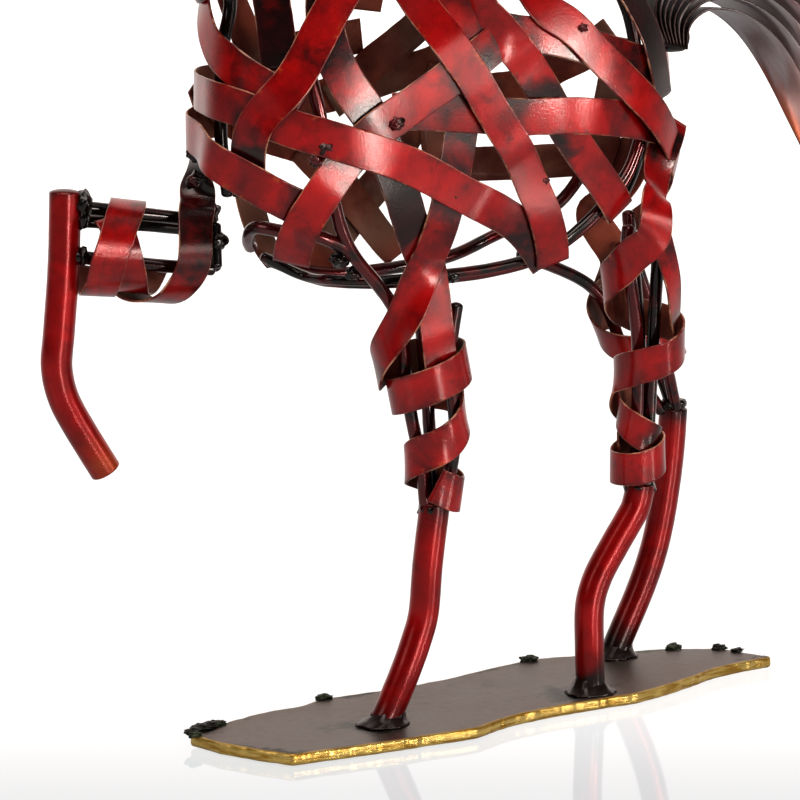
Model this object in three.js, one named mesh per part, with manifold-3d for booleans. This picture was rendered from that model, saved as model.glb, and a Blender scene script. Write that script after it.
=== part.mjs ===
// Prancing horse of welded steel strip: a woven basket of flat strips over a rod frame,
// on three solid lower legs, a fourth leg raised, standing on a torch-cut plate.
// Millimetres, +Z up. The horse faces -X, its left side is -Y.
// Origin: middle of the underside of the plate.
import * as THREE from 'three';
import { mergeVertices } from 'three/addons/utils/BufferGeometryUtils.js';
import Module from 'manifold-3d';

// ---------------------------------------------------------------- driving dimensions
const STRIP_WIDTH = 12;
const STRIP_THICKNESS = 0.7;
const STRIP_GAP = 0.45;
const ROD_RADIUS = 2.2;
const LEG_RADIUS = 5.1;
const PLATE_THICKNESS = 4;
const ROD_DEPTH = 3.4;
const ROUTE_STEP = 2;
const SECTION_TURN = 0.46;
const SECTION_LENGTH = 10;
const EDGE_ADVANCE = 0.4;
const HIGHEST_LIFT = 8;
const TAIL_RIBBONS = 8;
const MANE_LOCKS = 7;

// The barrel: an ellipsoid squared up by a power over 2, deeper above than below,
// and carried higher still over the chest, where the neck begins.
const BARREL = {
  centre: new THREE.Vector3(-21, 0, 200),
  halfLength: 83,
  halfWidth: 38,
  rise: 80,
  chestRise: 40,
  drop: 56,
  power: 2.6,
};

// Limbs: stations of x, y, z, half width across, half width fore and aft.
const LIMB_STATIONS = {
  nearFore: [
    [-36, -21, 152, 13, 15], [-37, -21, 130, 12.5, 14], [-34, -21, 115, 12, 12.5],
    [-31, -20, 100, 10.5, 11], [-31, -20, 86, 8.5, 9], [-32, -19, 74, 7.5, 8],
  ],
  nearHind: [
    [41, -22, 185, 13, 14], [44, -21, 165, 11, 12], [46, -20, 148, 10, 10.5],
    [48, -19, 128, 8.5, 8.5], [48, -17, 110, 8, 8], [49, -15, 90, 7.5, 7.8],
    [50, -14, 74, 7, 7.5],
  ],
  farHind: [
    [58, 20, 158, 14, 15], [66, 21, 134, 13.5, 15], [74, 23, 118, 12, 12.5],
    [82, 24, 104, 9, 9.5], [87, 26, 92, 7, 7.5],
  ],
  raisedFore: [
    [-90, 11, 163, 16, 17], [-104, 12, 163, 16, 16.5], [-120, 12, 163, 15, 15.5],
    [-135, 13, 165, 14.5, 15], [-146, 14, 166, 13, 14],
  ],
  neck: [
    [-56, 0, 255, 31, 52], [-72, 0, 278, 25, 42], [-88, 0, 303, 20, 33],
    [-100, 0, 328, 16.5, 26], [-107, 0, 350, 14.5, 21], [-110, 0, 368, 13, 18],
  ],
};
const DOWNWARD_LIMBS = ['nearFore', 'nearHind', 'farHind'];

// ---------------------------------------------------------------- materials
function steel(name, colour, roughness) {
  const material = new THREE.MeshStandardMaterial({ color: colour, roughness, metalness: 0.6 });
  material.name = name;
  return material;
}
const RED = steel('red_lacquered_steel', 0x9c1414, 0.3);
const DARK_RED = steel('dark_red_steel', 0x4a0f10, 0.35);
const BLACK = steel('blackened_steel', 0x1a1414, 0.35);
const BROWN = steel('brown_steel', 0x4a2a24, 0.55);
const COPPER = steel('coppered_steel', 0x9a6b5c, 0.3);
const PLATE = steel('bronzed_plate', 0x4b4640, 0.5);

// ---------------------------------------------------------------- barrel and limb surfaces
const radians = THREE.MathUtils.degToRad;

// azimuth 0 is the near side, -90 the chest, 90 the rump; elevation 90 is the back.
function direction(azimuth, elevation) {
  const a = radians(azimuth);
  const e = radians(elevation);
  return new THREE.Vector3(Math.cos(e) * Math.sin(a), -Math.cos(e) * Math.cos(a), Math.sin(e));
}

function barrelPoint(towards) {
  const chest = Math.max(0, -towards.x) ** 1.5;
  const height = towards.z > 0 ? BARREL.rise + BARREL.chestRise * chest : BARREL.drop;
  const sizes = [BARREL.halfLength, BARREL.halfWidth, height];
  const parts = towards.toArray();
  let sum = 0;
  for (let k = 0; k < 3; k += 1) sum += (Math.abs(parts[k]) / sizes[k]) ** BARREL.power;
  return BARREL.centre.clone().addScaledVector(towards, sum ** (-1 / BARREL.power));
}

// Outward, from two short chords of the surface.
function barrelNormal(point) {
  const outward = point.clone().sub(BARREL.centre).normalize();
  const pole = Math.abs(outward.z) < 0.9 ? new THREE.Vector3(0, 0, 1) : new THREE.Vector3(1, 0, 0);
  const first = outward.clone().cross(pole).normalize();
  const second = outward.clone().cross(first);
  const chord = (way) => {
    const ahead = barrelPoint(outward.clone().addScaledVector(way, 0.01).normalize());
    return ahead.sub(barrelPoint(outward.clone().addScaledVector(way, -0.01).normalize()));
  };
  const normal = chord(first).cross(chord(second)).normalize();
  return normal.dot(outward) > 0 ? normal : normal.negate();
}

function makeLimb(name) {
  const stations = LIMB_STATIONS[name];
  const reach = [0];
  for (let i = 1; i < stations.length; i += 1) {
    const [a, b] = [stations[i - 1], stations[i]];
    reach.push(reach[i - 1] + Math.hypot(b[0] - a[0], b[1] - a[1], b[2] - a[2]));
  }
  return { stations, reach, turn: DOWNWARD_LIMBS.includes(name) ? -1 : 1 };
}
const LIMBS = Object.fromEntries(Object.keys(LIMB_STATIONS).map((k) => [k, makeLimb(k)]));

function limbStation(limb, along) {
  const last = limb.reach.length - 1;
  const u = Math.min(Math.max(along, 0), limb.reach[last]);
  let i = 0;
  while (i < last - 1 && u > limb.reach[i + 1]) i += 1;
  const f = (u - limb.reach[i]) / (limb.reach[i + 1] - limb.reach[i]);
  return limb.stations[i].map((v, k) => v + (limb.stations[i + 1][k] - v) * f);
}

// A point on a limb: mm down its axis, degrees round it (0 is the near side), mm clear of it.
function limbPoint(name, along, angle, lift = 0) {
  const limb = LIMBS[name];
  const [x, y, z, across, fore] = limbStation(limb, along);
  const before = new THREE.Vector3(...limbStation(limb, along - 4));
  const after = new THREE.Vector3(...limbStation(limb, along + 4));
  const axis = after.sub(before).normalize();
  const side = new THREE.Vector3(0, -1, 0).addScaledVector(axis, axis.y).normalize();
  const front = axis.clone().cross(side).multiplyScalar(limb.turn);
  const c = Math.cos(radians(angle));
  const s = Math.sin(radians(angle));
  const point = new THREE.Vector3(x, y, z);
  point.addScaledVector(side, c * (across + lift)).addScaledVector(front, s * (fore + lift));
  const normal = side.clone().multiplyScalar(c / across).addScaledVector(front, s / fore);
  return { point, normal: normal.normalize(), onBarrel: false };
}

// ---------------------------------------------------------------- strips
// Each strip: route, rank (higher lies on top), and the strips it goes over in spite of rank.
// A waypoint is [azimuth, elevation] on the barrel or [limb, along, angle, lift] on a limb.
const NF = 'nearFore';
const NH = 'nearHind';
const FH = 'farHind';
const RF = 'raisedFore';
const NK = 'neck';
const STRIPS = {
  brisket_high: {
    rank: 1,
    route: [[-112, 60], [-104, 44], [-98, 31], [-89, 21], [-79, 16], [-65, 8.5]],
  },
  brisket_girth: {
    rank: 4,
    route: [
      [-142, 20], [-120, 14], [-100, 10], [-79, 8], [-66, 3], [-58, 0], [-40, -9],
      [-17, -24], [17, -38], [43, -48],
    ],
  },
  brisket_low: {
    rank: 6,
    over: ['shoulder'],
    route: [[-148, 8], [-122, 4], [-102, 1], [-89, -1], [-80, -5], [-73, -10], [-64, -19]],
  },
  shoulder: {
    rank: 9,
    route: [
      [-165, 46], [-168, 66], [-70, 86], [-36, 70], [-47, 56], [-57, 40], [-63, 24],
      [-67, 14], [-73, 4], [-75, -5], [-76, -13],
    ],
  },
  rib_cross: {
    rank: 3,
    over: ['brisket_low', 'flank_band'],
    route: [
      [8, 41], [-8, 34], [-23, 25], [-38, 13], [-49, 3], [-56, -6], [-62, -15], [-67, -22],
      [-73, -31],
    ],
  },
  elbow: {
    rank: 0,
    route: [
      [-56, 56], [-61, 42], [-61, 32], [-59, 24], [-55, 16], [-49, 6], [-42, -15],
      [-38, -32], [-32, -51], [NF, 18, 0, -2], [NF, 32, 5, -3.4],
    ],
  },
  flank_over: {
    rank: 8,
    route: [
      [-66, 70], [-50, 57], [-41, 48], [-27, 39], [-14, 28], [-1, 11], [11, -6],
      [21, -22], [30, -33], [44, -47],
    ],
  },
  foreleg: {
    rank: 2,
    route: [
      [-12, 20], [-16, 4], [-19, -13], [-24, -30], [-31, -44], [NF, 8, -45, 0.5],
      [NF, 18, -68, 1.5], [NF, 27, -112, 2.5], [NF, 27, -206], [NF, 28, -296, -1],
      [NF, 32, -386], [NF, 36, -476, 0.5], [NF, 40, -566], [NF, 45, -656, -2],
      [NF, 54, -746, -0.5], [NF, 62, -836, 0.5], [NF, 68, -926],
      [NF, 71, -1000, -0.3], [NF, 70, -1055, -0.7], [NF, 67, -1110, -1],
    ],
  },
  loin: {
    rank: 5,
    route: [
      [166, 50], [168, 70], [-20, 84], [-22, 67], [-8, 51], [2, 44], [14, 34], [23, 24],
      [29, 15], [38, 0], [47, -12], [60, -24],
    ],
  },
  flank_band: {
    rank: 6,
    route: [
      [-44, 10], [-34, 11], [-12, 11], [13, 9], [40, 7], [60, 3], [74, -1], [93, -6],
      [112, -11], [128, -15], [142, -18], [160, -20],
    ],
  },
  croup: {
    rank: 10,
    route: [
      [128, 50], [116, 68], [24, 80], [16, 64], [28, 47], [40, 37], [50, 24], [59, 12],
      [67, 2], [75, -8], [84, -20], [91, -26],
    ],
  },
  hip: {
    rank: 2,
    route: [[-28, 50], [-11, 45], [15, 41], [33, 36], [51, 26], [64, 18], [80, 12], [98, 7]],
  },
  stifle: {
    rank: 9,
    route: [
      [75, 2], [69, -7], [66, -17], [NH, 19, -10, 1.5],
      [NH, 30, -58, 1.2], [NH, 39, -116, 2], [NH, 47, -160, 0.5], [NH, 52, -206, -0.5],
      [NH, 57, -296, -1], [NH, 64, -386, -1], [NH, 71, -476, -1], [NH, 80, -520, -0.9],
      [NH, 86, -560, -0.9],
    ],
  },
  tail_head: {
    rank: 7,
    route: [[52, 62], [62, 44], [66, 30], [68, 18], [70, 8]],
  },
  throat_near: {
    rank: 0,
    route: [[-84, 58], [-76, 42], [-71, 28], [-69, 17]],
  },
  thigh: {
    rank: 3,
    width: 9,
    route: [[NH, 14, 0, -0.5], [NH, 26, 15, 1], [NH, 38, 30, 2], [NH, 50, 42, 2], [NH, 57, 60, 2]],
  },
  far_brisket: {
    rank: 1,
    route: [[-121, 10], [-120, -8], [-119, -20], [-117, -30], [-112, -40]],
  },
  far_girth: {
    rank: 3,
    route: [[160, 10], [166, -3], [172, -13], [-179, -25], [-160, -38], [-140, -46], [-117, -49]],
  },
  far_elbow: {
    rank: 0,
    route: [[-138, -8], [-153, -27], [-165, -43], [-178, -58]],
  },
  far_flank: {
    rank: 2,
    route: [[150, 24], [153, 10], [154, -4], [152, -19], [148, -34]],
  },
  far_stifle: {
    rank: 1,
    route: [[101, 20], [104, 6], [106, -6], [107, -11]],
  },
  far_thigh: {
    rank: 2,
    route: [[92, 4], [97, -11], [105, -23], [FH, 12, 156, 1], [FH, 23, 178, 0.5], [FH, 36, 195, -1]],
  },
  far_hip: {
    rank: 4,
    route: [[103, 21], [110, 17], [116, 15], [123, 11], [134, 11], [150, 8]],
  },
  far_back: {
    rank: 5,
    route: [[-136, 8], [-150, 13], [-161, 17], [-171, 20], [172, 24], [155, 26], [136, 30]],
  },
  far_loin: {
    rank: 0,
    route: [[-150, 10], [-160, 18], [-169, 27], [173, 37], [160, 43], [140, 52]],
  },
  far_shoulder: {
    rank: 6,
    route: [[-108, 6], [-116, 14], [-123, 20], [-134, 26], [-147, 32], [-165, 38]],
  },
  far_cross: {
    rank: 2,
    route: [[-112, 8], [-118, 2], [-130, -4], [-140, -9], [-150, -18], [-158, -32]],
  },
  far_throat: {
    rank: 3,
    route: [[-100, 46], [-113, 34], [-119, 27], [-123, 18]],
  },
  hock_near_wrap: {
    rank: 1,
    width: 11.5,
    route: [
      [NH, 96, 240, -1.1], [NH, 95, 150, -1.1], [NH, 97, 64, -1.1], [NH, 101, -26, -0.7],
      [NH, 102, -100, 0.8], [NH, 102, -116, 1.1], [NH, 99, -200, 1.3],
    ],
  },
  hock_near_cross: {
    rank: 0,
    width: 11,
    route: [
      [NH, 80, -150, -1], [NH, 82, -116, -1], [NH, 86, -60, -1], [NH, 90, -10, -1],
      [NH, 93, 30, -1],
    ],
  },
  hock_far_wrap: {
    rank: 0,
    width: 11.5,
    route: [
      [FH, 20, -200], [FH, 29, -116], [FH, 38, -26], [FH, 45, 64], [FH, 52, 150],
      [FH, 58, 240],
    ],
  },
  knee_raised_wrap: {
    rank: 1,
    width: 11.5,
    route: [
      [-97, 1], [RF, 14, 76, 1.5], [RF, 19, 35, 1], [RF, 21, -15, 1], [RF, 26, -60, 1],
      [RF, 32.5, -110], [RF, 35, -180], [RF, 37, -250], [RF, 39, -280], [RF, 44, -330],
      [RF, 47, -375], [RF, 47, -420, -1], [RF, 45.5, -460, -2.2], [RF, 44.5, -510, -3],
    ],
  },
  knee_raised_cross: {
    rank: 0,
    width: 11.5,
    route: [
      [RF, 46, 54, -3.2], [RF, 44, 33, -3], [RF, 42, 0, -2.4], [RF, 38, -45, -2.2],
      [RF, 34, -90, -2.2], [RF, 28, -130, -2.6], [RF, 24, -155, -3],
    ],
  },
};

// Two strips wind round the neck each way, half a turn apart.
const NECK_WRAP = { first: 19, last: 90, turns: 2.0, steps: 20 };
['rising', 'rising', 'falling', 'falling'].forEach((way, k) => {
  const sense = way === 'rising' ? 1 : -1;
  const start = (k % 2) * 180 + 40;
  const route = [];
  for (let i = 0; i <= NECK_WRAP.steps; i += 1) {
    const f = i / NECK_WRAP.steps;
    const along = NECK_WRAP.first + (NECK_WRAP.last - NECK_WRAP.first) * f;
    route.push([NK, along, start + sense * 360 * NECK_WRAP.turns * f]);
  }
  STRIPS[`neck_${way}_${(k % 2) + 1}`] = { rank: 11 + k, route };
});

function waypoint(entry) {
  if (typeof entry[0] === 'string') return limbPoint(...entry);
  const point = barrelPoint(direction(...entry));
  return { point, normal: barrelNormal(point), onBarrel: true };
}

// Round a limb a wrap needs a waypoint at least every 25 degrees.
function withTurns(route) {
  const full = [];
  route.forEach((entry, i) => {
    const previous = route[i - 1];
    if (i > 0 && typeof entry[0] === 'string' && typeof previous[0] === 'string') {
      const from = [previous[1], previous[2], previous[3] || 0];
      const to = [entry[1], entry[2], entry[3] || 0];
      const count = Math.ceil(Math.abs(to[1] - from[1]) / 25);
      for (let j = 1; j < count; j += 1) {
        full.push([entry[0], ...from.map((v, k) => v + ((to[k] - v) * j) / count)]);
      }
    }
    full.push(entry);
  });
  return full;
}

function smoothBetween(list, i, t) {
  const at = (k) => list[k];
  const a = at(i);
  const b = at(i + 1);
  const before = i > 0 ? at(i - 1) : a.clone().multiplyScalar(2).sub(b);
  const after = i + 2 < list.length ? at(i + 2) : b.clone().multiplyScalar(2).sub(a);
  const weights = [
    [before, -t + 2 * t ** 2 - t ** 3],
    [a, 2 - 5 * t ** 2 + 3 * t ** 3],
    [b, t + 4 * t ** 2 - 3 * t ** 3],
    [after, -(t ** 2) + t ** 3],
  ];
  const sum = new THREE.Vector3();
  weights.forEach(([v, w]) => sum.addScaledVector(v, w / 2));
  return sum;
}

function evenSteps(points, normals, step) {
  const reach = [0];
  for (let i = 1; i < points.length; i += 1) {
    reach.push(reach[i - 1] + points[i].distanceTo(points[i - 1]));
  }
  const total = reach[reach.length - 1];
  const count = Math.max(2, Math.round(total / step));
  const out = { points: [], normals: [] };
  let i = 0;
  for (let k = 0; k <= count; k += 1) {
    const u = (total * k) / count;
    while (i < reach.length - 2 && reach[i + 1] < u) i += 1;
    const f = (u - reach[i]) / (reach[i + 1] - reach[i] || 1);
    out.points.push(points[i].clone().lerp(points[i + 1], f));
    out.normals.push(normals[i].clone().lerp(normals[i + 1], f).normalize());
  }
  return out;
}

function withFrames({ points, normals }) {
  const last = points.length - 1;
  const along = points.map((p, i) => (
    points[Math.min(i + 1, last)].clone().sub(points[Math.max(i - 1, 0)]).normalize()
  ));
  const outward = normals.map((n, i) => (
    n.clone().addScaledVector(along[i], -n.dot(along[i])).normalize()
  ));
  const across = outward.map((n, i) => n.clone().cross(along[i]));
  return { points, along, normals: outward, across };
}

function strapRoute(route) {
  const marks = withTurns(route).map(waypoint);
  const places = marks.map((m) => m.point);
  const facings = marks.map((m) => m.normal);
  const points = [];
  const normals = [];
  for (let i = 0; i < marks.length - 1; i += 1) {
    for (let j = 0; j < 12; j += 1) {
      let point = smoothBetween(places, i, j / 12);
      let normal = smoothBetween(facings, i, j / 12).normalize();
      if (marks[i].onBarrel && marks[i + 1].onBarrel) {
        point = barrelPoint(point.clone().sub(BARREL.centre).normalize());
        normal = barrelNormal(point);
      }
      points.push(point);
      normals.push(normal);
    }
  }
  points.push(places[places.length - 1]);
  normals.push(facings[facings.length - 1]);
  return withFrames(evenSteps(points, normals, ROUTE_STEP));
}

// ---------------------------------------------------------------- weaving
// Each strip is lifted off the surface far enough to clear the strips it lies over.
function goesOver(upper, lower, names) {
  if ((STRIPS[upper].over || []).includes(lower)) return true;
  if ((STRIPS[lower].over || []).includes(upper)) return false;
  const difference = STRIPS[upper].rank - STRIPS[lower].rank;
  return difference > 0 || (difference === 0 && names.indexOf(upper) > names.indexOf(lower));
}

function crossings(upper, lower) {
  const found = [];
  const offset = new THREE.Vector3();
  const reach = (upper.width + lower.width) / 2 + 9;
  upper.points.forEach((place, i) => {
    lower.points.forEach((beneath, j) => {
      if (place.distanceTo(beneath) > reach) return;
      if (upper.normals[i].dot(lower.normals[j]) < 0.2) return;
      for (let k = -2; k <= 2; k += 1) {
        offset.copy(place).addScaledVector(upper.across[i], (k / 4) * upper.width).sub(beneath);
        const up = offset.dot(lower.normals[j]);
        const beside = Math.abs(offset.dot(lower.across[j])) > lower.width / 2 + 1;
        const elsewhere = Math.abs(offset.dot(lower.along[j])) > ROUTE_STEP * 0.75;
        if (!beside && !elsewhere && Math.abs(up) < 7) found.push([i, j, up]);
      }
    });
  });
  return found;
}

function spreadAndSmooth(needed) {
  const n = needed.length;
  const at = (list, i) => list[Math.min(Math.max(i, 0), n - 1)];
  const spread = needed.map((v, i) => Math.max(...[-2, -1, 0, 1, 2].map((k) => at(needed, i + k))));
  let lift = spread;
  for (let pass = 0; pass < 14; pass += 1) {
    lift = lift.map((v, i) => Math.max(spread[i], (at(lift, i - 1) + at(lift, i + 1)) / 2));
  }
  for (let pass = 0; pass < 2; pass += 1) {
    lift = lift.map((v, i) => (at(lift, i - 1) + 2 * v + at(lift, i + 1)) / 4);
  }
  return lift.map((v, i) => Math.min(Math.max(v, needed[i]), HIGHEST_LIFT));
}

function weave() {
  const names = Object.keys(STRIPS);
  const straps = {};
  names.forEach((name) => {
    const strap = strapRoute(STRIPS[name].route);
    strap.width = STRIPS[name].width || STRIP_WIDTH;
    strap.lift = strap.points.map(() => 0);
    straps[name] = strap;
  });
  const pairs = [];
  names.forEach((upper) => names.forEach((lower) => {
    if (upper === lower || !goesOver(upper, lower, names)) return;
    const found = crossings(straps[upper], straps[lower]);
    if (found.length) pairs.push({ upper, lower, found });
  }));
  const order = [...names].sort((a, b) => STRIPS[a].rank - STRIPS[b].rank);
  for (let round = 0; round < 6; round += 1) {
    order.forEach((name) => {
      const strap = straps[name];
      const needed = strap.points.map(() => 0);
      pairs.filter((p) => p.upper === name).forEach(({ lower, found }) => {
        found.forEach(([i, j, up]) => {
          const clear = straps[lower].lift[j] + STRIP_THICKNESS + STRIP_GAP - up;
          needed[i] = Math.max(needed[i], clear);
        });
      });
      strap.lift = spreadAndSmooth(needed);
    });
  }
  return straps;
}

// ---------------------------------------------------------------- bodies
function solid(vertices, faces) {
  const geometry = new THREE.BufferGeometry();
  const places = vertices.flatMap((v) => v.toArray());
  geometry.setAttribute('position', new THREE.Float32BufferAttribute(places, 3));
  geometry.setIndex(faces.flat());
  return geometry;
}

// Rings of equal length, joined in order and closed at both ends. The diagonals turn over
// half way round, so that both faces of a twisted strip fold along the same lines.
function loft(rings) {
  const size = rings[0].length;
  const vertices = rings.flat();
  const faces = [];
  for (let i = 0; i < rings.length - 1; i += 1) {
    for (let k = 0; k < size; k += 1) {
      const a = i * size + k;
      const b = i * size + ((k + 1) % size);
      if (k < size / 2) faces.push([a, b, b + size], [a, b + size, a + size]);
      else faces.push([a, b, a + size], [b, b + size, a + size]);
    }
  }
  const top = (rings.length - 1) * size;
  for (let k = 1; k < size - 1; k += 1) {
    faces.push([0, k + 1, k], [top, top + k, top + k + 1]);
  }
  return solid(vertices, faces);
}

// Sections are kept where the strap has turned or run far enough since the last one,
// and where both of its edges have moved forward.
function sections(strap, turnLimit, lengthLimit) {
  const lifted = strap.points.map((p, i) => p.clone().addScaledVector(strap.normals[i], strap.lift[i]));
  const framed = withFrames({ points: lifted, normals: strap.normals });
  const last = lifted.length - 1;
  const advances = (from, to) => [-0.5, 0.5].every((side) => {
    const start = lifted[from].clone().addScaledVector(framed.across[from], side * strap.width);
    const chord = lifted[to].clone().addScaledVector(framed.across[to], side * strap.width).sub(start);
    return Math.min(chord.dot(framed.along[from]), chord.dot(framed.along[to])) > EDGE_ADVANCE;
  });
  const kept = [0];
  let turned = 0;
  let run = 0;
  for (let i = 1; i < last; i += 1) {
    turned += framed.along[i].angleTo(framed.along[i - 1]);
    turned += framed.normals[i].angleTo(framed.normals[i - 1]);
    run += lifted[i].distanceTo(lifted[i - 1]);
    const due = turned > turnLimit || run > lengthLimit;
    if (due && last - i > 1 && advances(kept[kept.length - 1], i)) {
      kept.push(i);
      turned = 0;
      run = 0;
    }
  }
  while (kept.length > 1 && !advances(kept[kept.length - 1], last)) kept.pop();
  kept.push(last);
  return kept.map((i) => ({
    point: lifted[i],
    normal: framed.normals[i],
    across: framed.across[i],
  }));
}

function strapBody(strap) {
  const half = strap.width / 2;
  const rings = sections(strap, SECTION_TURN, SECTION_LENGTH).map(({ point, normal, across }) => {
    const corner = (side, height) => (
      point.clone().addScaledVector(across, side * half).addScaledVector(normal, height)
    );
    return [corner(-1, 0), corner(1, 0), corner(1, STRIP_THICKNESS), corner(-1, STRIP_THICKNESS)];
  });
  return loft(rings);
}

function tube(path, radius, sides, endRadius = radius) {
  const last = path.length - 1;
  let side = null;
  const rings = path.map((p, i) => {
    const axis = path[Math.min(i + 1, last)].clone().sub(path[Math.max(i - 1, 0)]).normalize();
    if (!side) {
      side = Math.abs(axis.y) < 0.9 ? new THREE.Vector3(0, 1, 0) : new THREE.Vector3(1, 0, 0);
    }
    side = side.clone().addScaledVector(axis, -side.dot(axis)).normalize();
    const other = axis.clone().cross(side);
    const size = radius + (endRadius - radius) * (i / last);
    return Array.from({ length: sides }, (_, k) => {
      const a = (2 * Math.PI * k) / sides;
      return p.clone().addScaledVector(side, size * Math.cos(a)).addScaledVector(other, size * Math.sin(a));
    });
  });
  return loft(rings);
}

function smoothPath(places, step) {
  const points = [];
  for (let i = 0; i < places.length - 1; i += 1) {
    for (let j = 0; j < 6; j += 1) points.push(smoothBetween(places, i, j / 6));
  }
  points.push(places[places.length - 1]);
  return evenSteps(points, points.map(() => new THREE.Vector3(0, 0, 1)), step).points;
}

// A rod place is [azimuth, elevation] just inside the barrel, a limb waypoint or x, y, z.
function rodPlace(entry, depth) {
  if (entry.length === 3 && typeof entry[0] === 'number') return new THREE.Vector3(...entry);
  const { point, normal, onBarrel } = waypoint(entry);
  return onBarrel ? point.addScaledVector(normal, -depth) : point;
}

function rod(entries, { radius = ROD_RADIUS, step = 12, depth = ROD_DEPTH } = {}) {
  return tube(smoothPath(entries.map((entry) => rodPlace(entry, depth)), step), radius, 6);
}

// A weld: a squat bead.
function bead(x, y, z, size) {
  const geometry = new THREE.IcosahedronGeometry(size, 0);
  geometry.scale(1, 1, 0.8);
  geometry.translate(x, y, z);
  return geometry;
}

// ---------------------------------------------------------------- joining
const SLIVER = 0.05;
const wasm = await Module();
wasm.setup();

function toManifold(geometry) {
  const bare = geometry.clone();
  bare.deleteAttribute('normal');
  bare.deleteAttribute('uv');
  const merged = mergeVertices(bare, 1e-4);
  return new wasm.Manifold(new wasm.Mesh({
    numProp: 3,
    vertProperties: Float32Array.from(merged.attributes.position.array),
    triVerts: Uint32Array.from(merged.index.array),
  }));
}

function joined(geometries, cutters = []) {
  let whole = geometries.map(toManifold).reduce((sum, next) => sum.add(next));
  cutters.map(toManifold).forEach((cutter) => {
    whole = whole.subtract(cutter);
  });
  const mesh = whole.simplify(SLIVER).getMesh();
  const geometry = new THREE.BufferGeometry();
  const places = Float32Array.from(mesh.vertProperties);
  geometry.setAttribute('position', new THREE.BufferAttribute(places, 3));
  geometry.setIndex(new THREE.BufferAttribute(Uint32Array.from(mesh.triVerts), 1));
  return geometry;
}

const horse = new THREE.Group();
horse.name = 'strip_horse';

function add(name, geometry, material) {
  geometry.computeVertexNormals();
  const mesh = new THREE.Mesh(geometry, material);
  mesh.name = name;
  horse.add(mesh);
}

const DARK_STRIPS = ['tail_head', 'throat_near', 'brisket_low', 'knee_raised_wrap', 'far_throat'];
Object.entries(weave()).forEach(([name, strap]) => {
  let material = name.startsWith('far_') ? BROWN : RED;
  if (DARK_STRIPS.includes(name)) material = DARK_RED;
  add(name, strapBody(strap), material);
});

// ---------------------------------------------------------------- plate
// Corners of the hand-cut plate, anticlockwise from its forward tip.
const PLATE_CORNERS = [
  [-113, -1], [-108, -14], [-99, -29], [-92, -38], [-73, -38], [-53, -37], [-23, -35],
  [-8, -27], [15, -22], [49, -19], [70, -11], [93, 0], [119, 5], [108, 25], [88, 34],
  [63, 37], [39, 41], [13, 34], [-6, 28], [-32, 24], [-54, 23], [-66, 17], [-80, 15],
  [-96, 9],
];

function plateBody() {
  const shape = new THREE.Shape(PLATE_CORNERS.map(([x, y]) => new THREE.Vector2(x, y)));
  return new THREE.ExtrudeGeometry(shape, { depth: PLATE_THICKNESS, bevelEnabled: false });
}
add('base_plate', plateBody(), PLATE);

// ---------------------------------------------------------------- lower legs
const CLEAR = 0.3;
const FOOT_LEVEL = PLATE_THICKNESS + CLEAR;
const LOWER_LEGS = {
  near_fore_cannon: [
    [-32, -19, 71], [-34, -19, 58], [-35, -18, 41], [-38, -18, 31], [-42, -18, 21], [-47, -17, 9],
  ],
  near_hind_cannon: [
    [50, -14, 71], [47, -14, 66], [41, -13, 56], [35, -12, 45], [32, -12, 35], [32, -12, 22],
    [33, -11, 10],
  ],
  far_hind_cannon: [
    [87, 26, 89], [87, 27, 78], [85, 28, 59], [82, 29, 43], [77, 30, 28], [69, 31, 10],
  ],
};

function weldedFoot(path) {
  const [x, y] = path[path.length - 1];
  const run = [...path, [x, y, FOOT_LEVEL + 2.2]].map((p) => new THREE.Vector3(...p));
  const weld = new THREE.CylinderGeometry(LEG_RADIUS + 0.5, LEG_RADIUS + 3, 3, 10);
  weld.rotateX(Math.PI / 2);
  weld.translate(x, y, FOOT_LEVEL + 1.5);
  return joined([tube(smoothPath(run, 9), LEG_RADIUS, 10), weld]);
}
Object.entries(LOWER_LEGS).forEach(([name, path]) => add(name, weldedFoot(path), RED));

const RAISED_CANNON = [
  [-147, 14, 183], [-148, 14, 160], [-150, 14, 138], [-151, 14, 127], [-149, 14, 117],
  [-144, 14, 107], [-135, 14, 92],
];
const raisedRun = smoothPath(RAISED_CANNON.map((p) => new THREE.Vector3(...p)), 7);
add('raised_cannon', tube(raisedRun, LEG_RADIUS, 10), RED);

// ---------------------------------------------------------------- face
// Stations down the face: x, z of the middle, half depth, half width.
const FACE = [
  [-100, 372, 10, 7], [-108, 365, 17, 11], [-120, 355, 18.5, 12], [-133, 342, 13.5, 10.5],
  [-146, 329, 10, 8.5], [-157, 318, 9.6, 8], [-164, 311, 7.5, 6.4],
];

function faceRing([x, z, depth, width], grown = 0) {
  const down = new THREE.Vector3(-0.73, 0, -0.68);
  const brow = new THREE.Vector3(-down.z, 0, down.x).negate();
  const sides = 10;
  return Array.from({ length: sides }, (_, k) => {
    const a = (2 * Math.PI * k) / sides;
    return new THREE.Vector3(x, 0, z)
      .addScaledVector(brow, (depth + grown) * Math.cos(a))
      .addScaledVector(new THREE.Vector3(0, 1, 0), (width + grown) * Math.sin(a));
  });
}

// ---------------------------------------------------------------- rod frame
const RING_ROD = 1.7;
const INSET = -3.4;
const HOCK_INSET = -5;
const SPINE_DEPTH = 5.6;
const NECK_INSET = -5.6;
const belly = [
  [-97, -37], [-92, -48], [-75, -50], [-57, -57], [-25, -64], [19, -62], [43, -50],
  [50, -39], [56, -27], [62, -15], [66, -4],
];
const bellyInner = belly.map(([a, e]) => [a, e + 3.2]);
const bellyFar = [[-97, -36], [-111, -49], [-133, -61], [151, -60], [128, -42], [114, -26], [108, -12]];
add('belly_rods', joined([
  rod(belly, { radius: RING_ROD, step: 10 }),
  rod(bellyInner, { radius: RING_ROD, step: 10 }),
  rod(bellyFar),
]), DARK_RED);

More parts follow.
